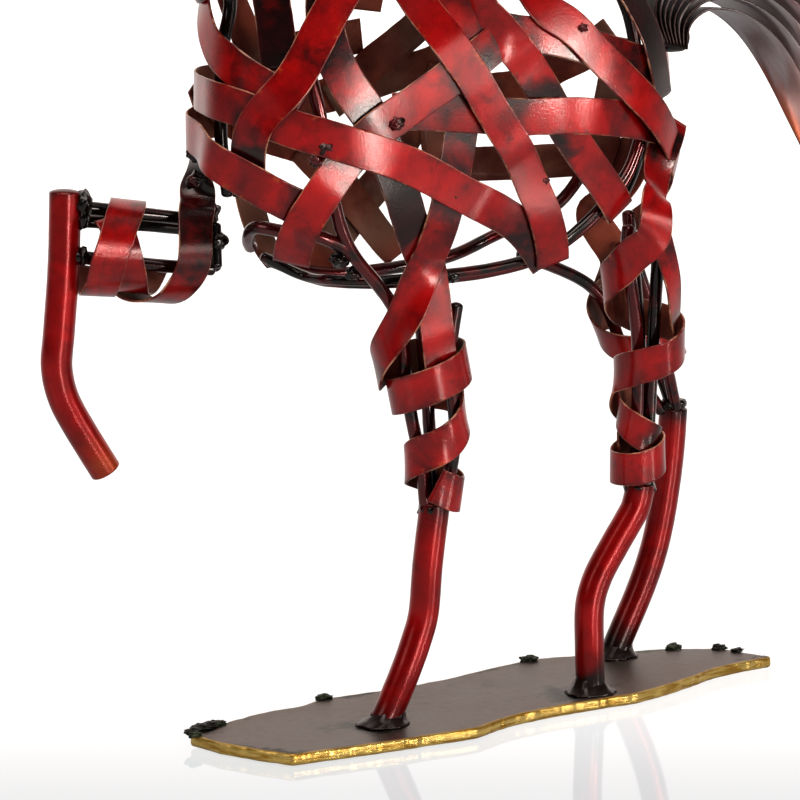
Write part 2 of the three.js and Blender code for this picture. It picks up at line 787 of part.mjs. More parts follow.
add('spine_rods', joined([
  rod([[-91, -15], [-91, 0], [-91, 18], [-91, 31], [NK, 38, -90, NECK_INSET], [NK, 60, -90, NECK_INSET],
    [NK, 84, -90, NECK_INSET], [NK, 100, -90, NECK_INSET]], { depth: SPINE_DEPTH }),
  rod([[NK, 100, 90, NECK_INSET], [NK, 80, 90, NECK_INSET], [NK, 54, 90, NECK_INSET],
    [NK, 38, 90, -10], [-90, 80], [-90, 89], [90, 80], [90, 66], [90, 48], [90, 30], [90, 12],
    [90, -8], [92, -24]], { depth: SPINE_DEPTH }),
  rod([[NK, 88, 90, NECK_INSET], [NK, 88, -90, NECK_INSET]]),
], [loft(FACE.map((station) => faceRing(station, CLEAR + 0.1)))]), BLACK);

const SHOULDER_ROD = [
  [-64, 20], [-61, 7], [-59, -14], [-58, -35], [NF, 10, -80, INSET], [NF, 36, -92, -4.4],
  [NF, 62, -90, -3.8], [NF, 76, -80, -4.8],
];
const ARCH_ROD = [[-94, -30], [-88, -26], [-80, -22], [-72, -24], [-65, -27], [-60, -33], [-58, -38]];
add('fore_rods', joined([
  rod(SHOULDER_ROD),
  rod(ARCH_ROD, { step: 8 }),
  rod([[NF, 6, 52, INSET], [NF, 28, 50, -5], [NF, 52, 45, -4.6], [NF, 76, 40, -4.8]]),
  rod([[NF, 6, 168, INSET], [NF, 40, 165, -4], [NF, 76, 160, -4.8]]),
  bead(-32, -19, 76, 5),
]), DARK_RED);

add('hind_rods', joined([
  rod([[NH, 16, -50, -5], [NH, 28, -62, -4], [NH, 60, -62, HOCK_INSET], [NH, 109, -60, HOCK_INSET]]),
  rod([[78, -10], [NH, 14, 78, -4], [NH, 60, 75, HOCK_INSET], [NH, 109, 60, HOCK_INSET]]),
  rod([[NH, 14, 172, -4], [NH, 60, 170, HOCK_INSET], [NH, 109, 175, HOCK_INSET]]),
  bead(50, -14, 76, 5),
]), DARK_RED);

add('far_hind_rods', joined([
  rod([[116, -46], [FH, 16, -116, -4], [FH, 44, -116, -4.6], [FH, 70, -100, -4.8]]),
  rod([[FH, 6, 10, -4.6], [FH, 40, 20, -4.6], [FH, 70, 20, -4.8]]),
  rod([[FH, 4, 140, -6.4], [FH, 40, 140, -5.2], [FH, 70, 140, -4.8]]),
  bead(87, 26, 94, 5),
]), BLACK);

add('raised_rods', joined([
  rod([[-99, 6, 172], [-120, 9, 175], [-141.5, 12, 178]]),
  rod([[-100, 3, 157], [-120, 6, 159], [-142, 11, 162]]),
  rod([[-97, 19, 168], [-120, 19, 171], [-142.5, 16, 173.5]]),
  rod([[-99, 6, 172], [-100, 3, 157]]),
  rod([[-100, 3, 157], [-97, 19, 168]]),
  bead(-99, 5, 166, 4),
]), BLACK);

// ---------------------------------------------------------------- head, mane and tail
function ear(side) {
  const root = new THREE.Vector3(-103, side * 6, 377);
  const tip = new THREE.Vector3(-105, side * 9, 400);
  const middle = root.clone().lerp(tip, 0.45);
  return tube([root, middle, tip], 4, 6, 0.8);
}
add('head', joined([loft(FACE.map((station) => faceRing(station))), ear(1), ear(-1)]), DARK_RED);

// A ribbon that starts flat across the horse and turns to lie along its side.
function lock(path, twist, width) {
  const steps = evenSteps(path, path.map(() => new THREE.Vector3(0, 1, 0)), 12.5).points;
  const last = steps.length - 1;
  const rings = steps.map((p, i) => {
    const along = steps[Math.min(i + 1, last)].clone().sub(steps[Math.max(i - 1, 0)]).normalize();
    const outward = new THREE.Vector3(-along.z, 0, along.x);
    const turn = twist(i / last);
    const normal = outward.multiplyScalar(Math.cos(turn)).add(new THREE.Vector3(0, Math.sin(turn), 0));
    normal.addScaledVector(along, -normal.dot(along)).normalize();
    const across = normal.clone().cross(along);
    const taper = 1 - 0.6 * (i / last) ** 3;
    const corner = (side, height) => (
      p.clone().addScaledVector(across, (side * width * taper) / 2).addScaledVector(normal, height)
    );
    return [corner(-1, 0), corner(1, 0), corner(1, STRIP_THICKNESS), corner(-1, STRIP_THICKNESS)];
  });
  return loft(rings);
}

const TAIL_PATH = [
  [72, 225], [73, 233], [80, 238], [89, 237.5], [100, 231.5], [110, 221.5], [119, 208],
  [130, 187], [140, 163], [146, 142],
];

function tailRibbon(k) {
  const last = TAIL_PATH.length - 1;
  const marks = TAIL_PATH.map(([x, z], i) => {
    const next = TAIL_PATH[Math.min(i + 1, last)];
    const previous = TAIL_PATH[Math.max(i - 1, 0)];
    const run = Math.hypot(next[0] - previous[0], next[1] - previous[1]);
    const out = [-(next[1] - previous[1]) / run, (next[0] - previous[0]) / run];
    const f = i / last;
    const spread = k * (1.2 + 4.9 * Math.min(1, f * 1.6));
    return new THREE.Vector3(x + out[0] * spread, 1.25 * k * f * 2, z + out[1] * spread);
  });
  const twist = (f) => (Math.PI / 2) * Math.min(1, Math.max(0, f * 2.2 - 0.35));
  return lock(smoothPath(marks, 4), twist, STRIP_WIDTH);
}
add('tail', joined([
  ...Array.from({ length: TAIL_RIBBONS }, (_, k) => tailRibbon(k)),
  tube([new THREE.Vector3(75, 0, 229), new THREE.Vector3(62.8, 0, 229)], 5, 8),
]), COPPER);

// The mane: locks welded side by side to a rod above the crest, swept back by turns to each side.
function crestPlace(along, lift) {
  return limbPoint(NK, along, 90, lift).point;
}
const MANE_RODS = [30, 58, 86].map((along) => crestPlace(along, 9.6));

function maneLock(k) {
  const along = 31 + (54 * k) / (MANE_LOCKS - 1);
  const side = k % 2 === 0 ? -1 : 1;
  const root = crestPlace(along, 9.4);
  const outward = crestPlace(along, 18).sub(root).normalize();
  const back = new THREE.Vector3(outward.z, 0, -outward.x);
  const reach = 26 + 3 * ((k * 3) % 4);
  const place = (out, rear, across) => root.clone()
    .addScaledVector(outward, out)
    .addScaledVector(back, rear)
    .add(new THREE.Vector3(0, side * across, 0));
  const path = [place(-1, 0, 0), place(8, 3, 1), place(13, reach * 0.5, 3), place(10, reach, 6)];
  return lock(smoothPath(path, 4), (f) => side * f * 0.7, 6.2);
}
add('mane', joined([
  tube(smoothPath(MANE_RODS, 12), 1.8, 6),
  ...Array.from({ length: MANE_LOCKS }, (_, k) => maneLock(k)),
]), COPPER);

export default horse;
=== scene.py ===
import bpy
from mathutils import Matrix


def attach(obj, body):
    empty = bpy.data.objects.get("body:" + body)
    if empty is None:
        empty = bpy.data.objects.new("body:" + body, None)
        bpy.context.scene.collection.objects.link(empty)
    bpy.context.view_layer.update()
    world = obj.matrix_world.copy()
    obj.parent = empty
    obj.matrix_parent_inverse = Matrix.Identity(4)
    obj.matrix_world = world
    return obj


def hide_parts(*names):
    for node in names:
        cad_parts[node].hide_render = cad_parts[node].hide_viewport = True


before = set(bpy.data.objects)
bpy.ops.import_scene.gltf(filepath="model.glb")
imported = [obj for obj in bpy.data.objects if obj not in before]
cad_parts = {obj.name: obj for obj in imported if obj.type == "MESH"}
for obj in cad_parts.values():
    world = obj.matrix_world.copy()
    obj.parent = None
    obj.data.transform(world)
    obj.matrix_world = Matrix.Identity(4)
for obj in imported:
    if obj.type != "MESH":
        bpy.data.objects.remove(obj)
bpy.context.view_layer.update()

import math
import bpy
import bmesh
import numpy as np
from mathutils import Vector, noise

MM = 0.001

# ---------------------------------------------------------------- sizes, in millimetres
STRIP_WIDTH = 12.0
STRIP_THICKNESS = 0.7      # of the CAD strips, which set the weave
LOOK_THICKNESS = 0.82      # of the strips shown
STRIP_GAP = 0.45
ROD_RADIUS = 2.2
LEG_RADIUS = 5.1
PLATE_THICKNESS = 4.0
ROD_DEPTH = 3.4
ROUTE_STEP = 2.0
HIGHEST_LIFT = 8.0

BARREL_CENTRE = np.array([-21.0, 0.0, 200.0])
BARREL_LENGTH, BARREL_WIDTH, BARREL_RISE, CHEST_RISE, BARREL_DROP = 83.0, 38.0, 80.0, 40.0, 56.0
BARREL_POWER = 2.6

# Limbs: stations of x, y, z, half width across, half width fore and aft.
LIMBS = {
    "nearFore": [(-36, -21, 152, 13, 15), (-37, -21, 130, 12.5, 14), (-34, -21, 115, 12, 12.5),
                 (-31, -20, 100, 10.5, 11), (-31, -20, 86, 8.5, 9), (-32, -19, 74, 7.5, 8)],
    "nearHind": [(41, -22, 185, 13, 14), (44, -21, 165, 11, 12), (46, -20, 148, 10, 10.5),
                 (48, -19, 128, 8.5, 8.5), (48, -17, 110, 8, 8), (49, -15, 90, 7.5, 7.8),
                 (50, -14, 74, 7, 7.5)],
    "farHind": [(58, 20, 158, 14, 15), (66, 21, 134, 13.5, 15), (74, 23, 118, 12, 12.5),
                (82, 24, 104, 9, 9.5), (87, 26, 92, 7, 7.5)],
    "raisedFore": [(-90, 11, 163, 16, 17), (-104, 12, 163, 16, 16.5), (-120, 12, 163, 15, 15.5),
                   (-135, 13, 165, 14.5, 15), (-146, 14, 166, 13, 14)],
    "neck": [(-56, 0, 255, 31, 52), (-72, 0, 278, 25, 42), (-88, 0, 303, 20, 33),
             (-100, 0, 328, 16.5, 26), (-107, 0, 350, 14.5, 21), (-110, 0, 368, 13, 18)],
}
LIMBS = {name: np.array(rows, float) for name, rows in LIMBS.items()}
REACH = {name: np.concatenate([[0], np.cumsum(np.linalg.norm(np.diff(rows[:, :3], axis=0), axis=1))])
         for name, rows in LIMBS.items()}
DOWNWARD = ("nearFore", "nearHind", "farHind")


def unit(v):
    return v / np.linalg.norm(v)


# ---------------------------------------------------------------- barrel and limb surfaces
def direction(azimuth, elevation):
    a, e = math.radians(azimuth), math.radians(elevation)
    return np.array([math.cos(e) * math.sin(a), -math.cos(e) * math.cos(a), math.sin(e)])


def barrel_point(towards):
    height = BARREL_RISE + CHEST_RISE * max(0.0, -towards[0]) ** 1.5 if towards[2] > 0 else BARREL_DROP
    sizes = np.array([BARREL_LENGTH, BARREL_WIDTH, height])
    total = ((np.abs(towards) / sizes) ** BARREL_POWER).sum()
    return BARREL_CENTRE + towards * total ** (-1 / BARREL_POWER)


def barrel_normal(point):
    outward = unit(point - BARREL_CENTRE)
    pole = np.array([0, 0, 1.0]) if abs(outward[2]) < 0.9 else np.array([1.0, 0, 0])
    first = unit(np.cross(outward, pole))
    second = np.cross(outward, first)
    chord = lambda way: (barrel_point(unit(outward + 0.01 * way)) - barrel_point(unit(outward - 0.01 * way)))
    normal = unit(np.cross(chord(first), chord(second)))
    return normal if normal @ outward > 0 else -normal


def limb_station(name, along):
    rows, reach = LIMBS[name], REACH[name]
    u = min(max(along, 0), reach[-1])
    return np.array([np.interp(u, reach, rows[:, k]) for k in range(5)])


def limb_point(name, along, angle, lift=0.0):
    x, y, z, across, fore = limb_station(name, along)
    axis = unit(limb_station(name, along + 4)[:3] - limb_station(name, along - 4)[:3])
    side = unit(np.array([0, -1.0, 0]) + axis * axis[1])
    front = np.cross(axis, side) * (-1 if name in DOWNWARD else 1)
    c, s = math.cos(math.radians(angle)), math.sin(math.radians(angle))
    point = np.array([x, y, z]) + side * c * (across + lift) + front * s * (fore + lift)
    return point, unit(side * c / across + front * s / fore)


# ---------------------------------------------------------------- strips
# Each strip: rank (higher lies on top), route, and what it goes over in spite of rank.
# A waypoint is (azimuth, elevation) on the barrel or (limb, along, angle, lift) on a limb.
NF, NH, FH, RF, NK = "nearFore", "nearHind", "farHind", "raisedFore", "neck"
STRIPS = {
    "brisket_high": dict(rank=1, route=[(-112, 60), (-104, 44), (-98, 31), (-89, 21), (-79, 16), (-65, 8.5)]),
    "brisket_girth": dict(rank=4, route=[
        (-142, 20), (-120, 14), (-100, 10), (-79, 8), (-66, 3), (-58, 0), (-40, -9), (-17, -24), (17, -38),
        (43, -48)]),
    "brisket_low": dict(rank=6, over=["shoulder"], route=[
        (-148, 8), (-122, 4), (-102, 1), (-89, -1), (-80, -5), (-73, -10), (-64, -19)]),
    "shoulder": dict(rank=9, route=[
        (-165, 46), (-168, 66), (-70, 86), (-36, 70), (-47, 56), (-57, 40), (-63, 24), (-67, 14), (-73, 4),
        (-75, -5), (-76, -13)]),
    "rib_cross": dict(rank=3, over=["brisket_low", "flank_band"], route=[
        (8, 41), (-8, 34), (-23, 25), (-38, 13), (-49, 3), (-56, -6), (-62, -15), (-67, -22), (-73, -31)]),
    "elbow": dict(rank=0, route=[
        (-56, 56), (-61, 42), (-61, 32), (-59, 24), (-55, 16), (-49, 6), (-42, -15), (-38, -32), (-32, -51),
        (NF, 18, 0, -2), (NF, 32, 5, -3.4)]),
    "flank_over": dict(rank=8, route=[
        (-66, 70), (-50, 57), (-41, 48), (-27, 39), (-14, 28), (-1, 11), (11, -6), (21, -22), (30, -33),
        (44, -47)]),
    "foreleg": dict(rank=2, route=[
        (-12, 20), (-16, 4), (-19, -13), (-24, -30), (-31, -44), (NF, 8, -45, 0.5), (NF, 18, -68, 1.5),
        (NF, 27, -112, 2.5), (NF, 27, -206), (NF, 28, -296, -1), (NF, 32, -386), (NF, 36, -476, 0.5),
        (NF, 40, -566), (NF, 45, -656, -2), (NF, 54, -746, -0.5), (NF, 62, -836, 0.5), (NF, 68, -926),
        (NF, 71, -1000, -0.3), (NF, 70, -1055, -0.7), (NF, 67, -1110, -1)]),
    "loin": dict(rank=5, route=[
        (166, 50), (168, 70), (-20, 84), (-22, 67), (-8, 51), (2, 44), (14, 34), (23, 24), (29, 15), (38, 0),
        (47, -12), (60, -24)]),
    "flank_band": dict(rank=6, route=[
        (-44, 10), (-34, 11), (-12, 11), (13, 9), (40, 7), (60, 3), (74, -1), (93, -6), (112, -11),
        (128, -15), (142, -18), (160, -20)]),
    "croup": dict(rank=10, route=[
        (128, 50), (116, 68), (24, 80), (16, 64), (28, 47), (40, 37), (50, 24), (59, 12), (67, 2), (75, -8),
        (84, -20), (91, -26)]),
    "hip": dict(rank=2, route=[
        (-28, 50), (-11, 45), (15, 41), (33, 36), (51, 26), (64, 18), (80, 12), (98, 7)]),
    "stifle": dict(rank=9, route=[
        (75, 2), (69, -7), (66, -17), (NH, 19, -10, 1.5), (NH, 30, -58, 1.2), (NH, 39, -116, 2),
        (NH, 47, -160, 0.5), (NH, 52, -206, -0.5), (NH, 57, -296, -1), (NH, 64, -386, -1), (NH, 71, -476, -1),
        (NH, 80, -520, -0.9), (NH, 86, -560, -0.9)]),
    "tail_head": dict(rank=7, route=[(52, 62), (62, 44), (66, 30), (68, 18), (70, 8)]),
    "throat_near": dict(rank=0, route=[(-84, 58), (-76, 42), (-71, 28), (-69, 17)]),
    "thigh": dict(rank=3, width=9, route=[
        (NH, 14, 0, -0.5), (NH, 26, 15, 1), (NH, 38, 30, 2), (NH, 50, 42, 2), (NH, 57, 60, 2)]),
    "far_brisket": dict(rank=1, route=[(-121, 10), (-120, -8), (-119, -20), (-117, -30), (-112, -40)]),
    "far_girth": dict(rank=3, route=[
        (160, 10), (166, -3), (172, -13), (-179, -25), (-160, -38), (-140, -46), (-117, -49)]),
    "far_elbow": dict(rank=0, route=[(-138, -8), (-153, -27), (-165, -43), (-178, -58)]),
    "far_flank": dict(rank=2, route=[(150, 24), (153, 10), (154, -4), (152, -19), (148, -34)]),
    "far_stifle": dict(rank=1, route=[(101, 20), (104, 6), (106, -6), (107, -11)]),
    "far_thigh": dict(rank=2, route=[
        (92, 4), (97, -11), (105, -23), (FH, 12, 156, 1), (FH, 23, 178, 0.5), (FH, 36, 195, -1)]),
    "far_hip": dict(rank=4, route=[(103, 21), (110, 17), (116, 15), (123, 11), (134, 11), (150, 8)]),
    "far_back": dict(rank=5, route=[
        (-136, 8), (-150, 13), (-161, 17), (-171, 20), (172, 24), (155, 26), (136, 30)]),
    "far_loin": dict(rank=0, route=[(-150, 10), (-160, 18), (-169, 27), (173, 37), (160, 43), (140, 52)]),
    "far_shoulder": dict(rank=6, route=[
        (-108, 6), (-116, 14), (-123, 20), (-134, 26), (-147, 32), (-165, 38)]),
    "far_cross": dict(rank=2, route=[
        (-112, 8), (-118, 2), (-130, -4), (-140, -9), (-150, -18), (-158, -32)]),
    "far_throat": dict(rank=3, route=[(-100, 46), (-113, 34), (-119, 27), (-123, 18)]),
    "hock_near_wrap": dict(rank=1, width=11.5, route=[
        (NH, 96, 240, -1.1), (NH, 95, 150, -1.1), (NH, 97, 64, -1.1), (NH, 101, -26, -0.7),
        (NH, 102, -100, 0.8), (NH, 102, -116, 1.1), (NH, 99, -200, 1.3)]),
    "hock_near_cross": dict(rank=0, width=11, route=[
        (NH, 80, -150, -1), (NH, 82, -116, -1), (NH, 86, -60, -1), (NH, 90, -10, -1), (NH, 93, 30, -1)]),
    "hock_far_wrap": dict(rank=0, width=11.5, route=[
        (FH, 20, -200), (FH, 29, -116), (FH, 38, -26), (FH, 45, 64), (FH, 52, 150), (FH, 58, 240)]),
    "knee_raised_wrap": dict(rank=1, width=11.5, route=[
        (-97, 1), (RF, 14, 76, 1.5), (RF, 19, 35, 1), (RF, 21, -15, 1), (RF, 26, -60, 1),
        (RF, 32.5, -110), (RF, 35, -180), (RF, 37, -250), (RF, 39, -280), (RF, 44, -330),
        (RF, 47, -375), (RF, 47, -420, -1), (RF, 45.5, -460, -2.2), (RF, 44.5, -510, -3)]),
    "knee_raised_cross": dict(rank=0, width=11.5, route=[
        (RF, 46, 54, -3.2), (RF, 44, 33, -3), (RF, 42, 0, -2.4), (RF, 38, -45, -2.2),
        (RF, 34, -90, -2.2), (RF, 28, -130, -2.6), (RF, 24, -155, -3)]),
}
NECK_FIRST, NECK_LAST, NECK_TURNS, NECK_STEPS = 19, 90, 2.0, 20
for k, way in enumerate(("rising", "rising", "falling", "falling")):
    sense = 1 if way == "rising" else -1
    route = [(NK, NECK_FIRST + (NECK_LAST - NECK_FIRST) * i / NECK_STEPS,
              (k % 2) * 180 + 40 + sense * 360 * NECK_TURNS * i / NECK_STEPS) for i in range(NECK_STEPS + 1)]
    STRIPS[f"neck_{way}_{k % 2 + 1}"] = dict(rank=11 + k, route=route)


def waypoint(entry):
    if isinstance(entry[0], str):
        point, normal = limb_point(*entry)
        return point, normal, False
    point = barrel_point(direction(*entry))
    return point, barrel_normal(point), True


def with_turns(route):
    full = []
    for previous, entry in zip([None] + route[:-1], route):
        if previous and isinstance(entry[0], str) and isinstance(previous[0], str):
            a = np.array((list(previous[1:]) + [0])[:3], float)
            b = np.array((list(entry[1:]) + [0])[:3], float)
            count = math.ceil(abs(b[1] - a[1]) / 25)
            full += [(entry[0], *(a + (b - a) * j / count)) for j in range(1, count)]
        full.append(entry)
    return full


def between(rows, i, t):
    a, b = rows[i], rows[i + 1]
    before = rows[i - 1] if i > 0 else 2 * a - b
    after = rows[i + 2] if i + 2 < len(rows) else 2 * b - a
    return 0.5 * (2 * a + (b - before) * t + (2 * before - 5 * a + 4 * b - after) * t * t
                  + (3 * a - before - 3 * b + after) * t ** 3)


def even_steps(points, extra, step):
    reach = np.concatenate([[0], np.cumsum(np.linalg.norm(np.diff(points, axis=0), axis=1))])
    u = np.linspace(0, reach[-1], max(2, round(reach[-1] / step)) + 1)
    spread = lambda rows: np.stack([np.interp(u, reach, rows[:, k]) for k in range(rows.shape[1])], 1)
    return spread(points), spread(extra)


def rows_unit(rows):
    return rows / np.linalg.norm(rows, axis=1)[:, None]


def frames(points, normals):
    last = len(points) - 1
    along = np.array([points[min(i + 1, last)] - points[max(i - 1, 0)] for i in range(last + 1)])
    along = rows_unit(along)
    outward = rows_unit(normals - along * (normals * along).sum(1)[:, None])
    return along, outward, np.cross(outward, along)


def strap_route(route):
    marks = [waypoint(entry) for entry in with_turns(list(route))]
    places = [m[0] for m in marks]
    facings = [m[1] for m in marks]
    points, normals = [], []
    for i in range(len(marks) - 1):
        for j in range(12):
            point = between(places, i, j / 12)
            normal = unit(between(facings, i, j / 12))
            if marks[i][2] and marks[i + 1][2]:
                point = barrel_point(unit(point - BARREL_CENTRE))
                normal = barrel_normal(point)
            points.append(point)
            normals.append(normal)
    points.append(places[-1])
    normals.append(facings[-1])
    points, normals = even_steps(np.array(points), np.array(normals), ROUTE_STEP)
    along, outward, across = frames(points, rows_unit(normals))
    return dict(points=points, along=along, normals=outward, across=across)


# ---------------------------------------------------------------- weaving
def goes_over(upper, lower, names):
    if lower in STRIPS[upper].get("over", []):
        return True
    if upper in STRIPS[lower].get("over", []):
        return False
    difference = STRIPS[upper]["rank"] - STRIPS[lower]["rank"]
    return difference > 0 or (difference == 0 and names.index(upper) > names.index(lower))


def crossings(upper, lower):
    near = np.linalg.norm(upper["points"][:, None] - lower["points"][None], axis=2)
    facing = upper["normals"] @ lower["normals"].T
    close = (near <= (upper["width"] + lower["width"]) / 2 + 9) & (facing >= 0.2)
    i, j = np.nonzero(close)
    found = []
    for k in range(-2, 3):
        offset = upper["points"][i] + upper["across"][i] * (k / 4 * upper["width"]) - lower["points"][j]
        up = (offset * lower["normals"][j]).sum(1)
        beside = np.abs((offset * lower["across"][j]).sum(1)) > lower["width"] / 2 + 1
        elsewhere = np.abs((offset * lower["along"][j]).sum(1)) > ROUTE_STEP * 0.75
        keep = ~beside & ~elsewhere & (np.abs(up) < 7)
        found.append(np.stack([i[keep], j[keep], up[keep]], 1))
    return np.concatenate(found)


def spread_and_smooth(needed):
    reach = lambda rows, k: rows[np.clip(np.arange(len(rows)) + k, 0, len(rows) - 1)]
    spread = np.max([reach(needed, k) for k in (-2, -1, 0, 1, 2)], axis=0)
    lift = spread
    for _ in range(14):
        lift = np.maximum(spread, (reach(lift, -1) + reach(lift, 1)) / 2)
    for _ in range(2):
        lift = (reach(lift, -1) + 2 * lift + reach(lift, 1)) / 4
    return np.minimum(np.maximum(lift, needed), HIGHEST_LIFT)


def weave():
    names = list(STRIPS)
    straps = {}
    for name in names:
        strap = strap_route(STRIPS[name]["route"])
        strap["width"] = STRIPS[name].get("width", STRIP_WIDTH)
        strap["lift"] = np.zeros(len(strap["points"]))
        straps[name] = strap
    pairs = []
    for upper in names:
        for lower in names:
            if upper != lower and goes_over(upper, lower, names):
                found = crossings(straps[upper], straps[lower])
                if len(found):
                    pairs.append((upper, lower, found))
    for _ in range(6):
        for name in sorted(names, key=lambda n: STRIPS[n]["rank"]):
            needed = np.zeros(len(straps[name]["points"]))
            for upper, lower, found in pairs:
                if upper == name:
                    clear = (straps[lower]["lift"][found[:, 1].astype(int)] + STRIP_THICKNESS + STRIP_GAP
                             - found[:, 2])
                    np.maximum.at(needed, found[:, 0].astype(int), clear)
            straps[name]["lift"] = spread_and_smooth(needed)
    # how much of each strip lies under another, for the painted shade round the crossings, which also stands
    # for the airbrushed black there
    for strap in straps.values():
        strap["covered"] = np.zeros(len(strap["points"]))
    for upper, lower, found in pairs:
        straps[lower]["covered"][found[:, 1].astype(int)] = 1
    return straps


# ---------------------------------------------------------------- meshes
def to_object(name, vertices, faces, attributes=None, smooth=True):
    mesh = bpy.data.meshes.new(name)
    mesh.from_pydata([tuple(v) for v in np.asarray(vertices) * MM], [], faces)
    mesh.update()
    for key, values in (attributes or {}).items():
        layer = mesh.attributes.new(key, "FLOAT", "POINT")
        layer.data.foreach_set("value", np.asarray(values, np.float32))
    if smooth:
        mesh.polygons.foreach_set("use_smooth", [True] * len(mesh.polygons))
    obj = bpy.data.objects.new(name, mesh)
    bpy.context.scene.collection.objects.link(obj)
    return obj


def finish_piece(obj, node, material):
    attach(obj, "root")
    if node:
        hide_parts(*(node if isinstance(node, (list, tuple)) else [node]))
    obj.data.materials.append(material)
    return obj


def loft_faces(rings, size, closed_ends=True):
    faces = []
    for i in range(rings - 1):
        for k in range(size):
            a, b = i * size + k, i * size + (k + 1) % size
            faces.append((a, b, b + size, a + size))
    if closed_ends:
        faces.append(tuple(reversed(range(size))))
        faces.append(tuple(range((rings - 1) * size, rings * size)))
    return faces


# Section of a strip, from its left edge over the outer face and back along the inner face:
# fraction of the half width, fraction of the thickness, edge amount, inner amount.
PROFILE = [
    (-1.000, 0.22, 1.0, 0.7), (-1.000, 0.76, 1.0, 0.0), (-0.982, 1.00, 0.35, 0.0), (-0.93, 1.01, 0.0, 0.0),
    (-0.5, 1.05, 0.0, 0.0), (0.0, 1.07, 0.0, 0.0), (0.5, 1.05, 0.0, 0.0), (0.93, 1.01, 0.0, 0.0),
    (0.982, 1.00, 0.35, 0.0), (1.000, 0.76, 1.0, 0.0), (1.000, 0.22, 1.0, 0.7), (0.975, 0.0, 0.0, 1.0),
    (0.5, 0.0, 0.0, 1.0), (-0.5, 0.0, 0.0, 1.0), (-0.975, 0.0, 0.0, 1.0),
]


def wobble(seed, u, scale):
    return noise.noise(Vector((u / scale, seed * 7.31, 0.37)))


def blur(values, reach_mm, step):
    sigma = reach_mm / step
    n = int(3 * sigma) + 1
    kernel = np.exp(-0.5 * (np.arange(-n, n + 1) / sigma) ** 2)
    return np.convolve(np.pad(values, n, mode="edge"), kernel / kernel.sum(), mode="valid")


# Roll of a strip about its own line, in degrees, at fractions of its length.
ROLLS = {
    "loin": [(0, 0), (0.36, 0), (0.47, 62), (0.56, 58), (0.66, 8), (1, 0)],
    "stifle": [(0, 42), (0.06, 40), (0.16, 12), (0.22, 0), (1, 0)],
}


def ribbon(name, strap, tone, seed, step=1.3):
    lifted = strap["points"] + strap["normals"] * strap["lift"][:, None]
    # painted shade where other strips cross over this one, blurred along the strip
    covered = np.clip(blur(strap["covered"], 3.2, ROUTE_STEP) * 1.15, 0, 1)
    extra = np.column_stack([strap["normals"], covered])
    points, extra = even_steps(lifted, extra, step)
    for _ in range(2):
        points[1:-1] = (points[:-2] + 2 * points[1:-1] + points[2:]) / 4
    along, outward, across = frames(points, rows_unit(extra[:, :3]))
    count = len(points)
    length = np.concatenate([[0], np.cumsum(np.linalg.norm(np.diff(points, axis=0), axis=1))])
    rolls = ROLLS.get(name)
    half = strap["width"] / 2
    vertices, edge, inner, shade, run, cross = [], [], [], [], [], []
    for i in range(count):
        u = length[i]
        turn = math.radians(2.2 * wobble(seed, u, 26.0))
        if rolls:
            turn += math.radians(np.interp(u / length[-1], [r[0] for r in rolls], [r[1] for r in rolls]))
        side = across[i] * math.cos(turn) + outward[i] * math.sin(turn)
        up = outward[i] * math.cos(turn) - across[i] * math.sin(turn)
        ripple = 0.16 * wobble(seed + 3, u, 9.0)
        width = half * (1 + 0.018 * wobble(seed + 5, u, 14.0))
        nick = 0.10 * wobble(seed + 9, u, 2.6)
        for s, h, e, n in PROFILE:
            height = h * LOOK_THICKNESS + ripple
            reach = s * (width + (nick if e > 0.5 else 0))
            vertices.append(points[i] + side * reach + up * height)
            edge.append(e)
            inner.append(n)
            shade.append(extra[i, 3])
            run.append(u)
            cross.append(s)
    faces = loft_faces(count, len(PROFILE))
    if not isinstance(tone, list):
        tone = [(0, tone), (1, tone)]
    tones = np.interp(np.array(run) / length[-1], [t[0] for t in tone], [t[1] for t in tone])
    attributes = dict(edge=edge, inner=inner, shade=shade, run=run, cross=cross, tone=tones,
                      seed=[seed * 1.7] * len(vertices))
    return to_object("strip_" + name, vertices, faces, attributes)


def smooth_path(places, step):
    rows = [np.array(p, float) for p in places]
    points = [between(rows, i, j / 8) for i in range(len(rows) - 1) for j in range(8)] + [rows[-1]]
    points = np.array(points)
    return even_steps(points, points, step)[0]


def tube_rings(path, radii, sides):
    last = len(path) - 1
    side = None
    rings = []
    for i, p in enumerate(path):
        axis = unit(path[min(i + 1, last)] - path[max(i - 1, 0)])
        if side is None:
            side = np.array([0, 1.0, 0]) if abs(axis[1]) < 0.9 else np.array([1.0, 0, 0])
        side = unit(side - axis * (side @ axis))
        other = np.cross(axis, side)
        a = np.arange(sides) * 2 * math.pi / sides
        r = radii[i]
        rings.append(p + np.outer(np.cos(a), side) * r[:, None] + np.outer(np.sin(a), other) * r[:, None])
    return np.array(rings)


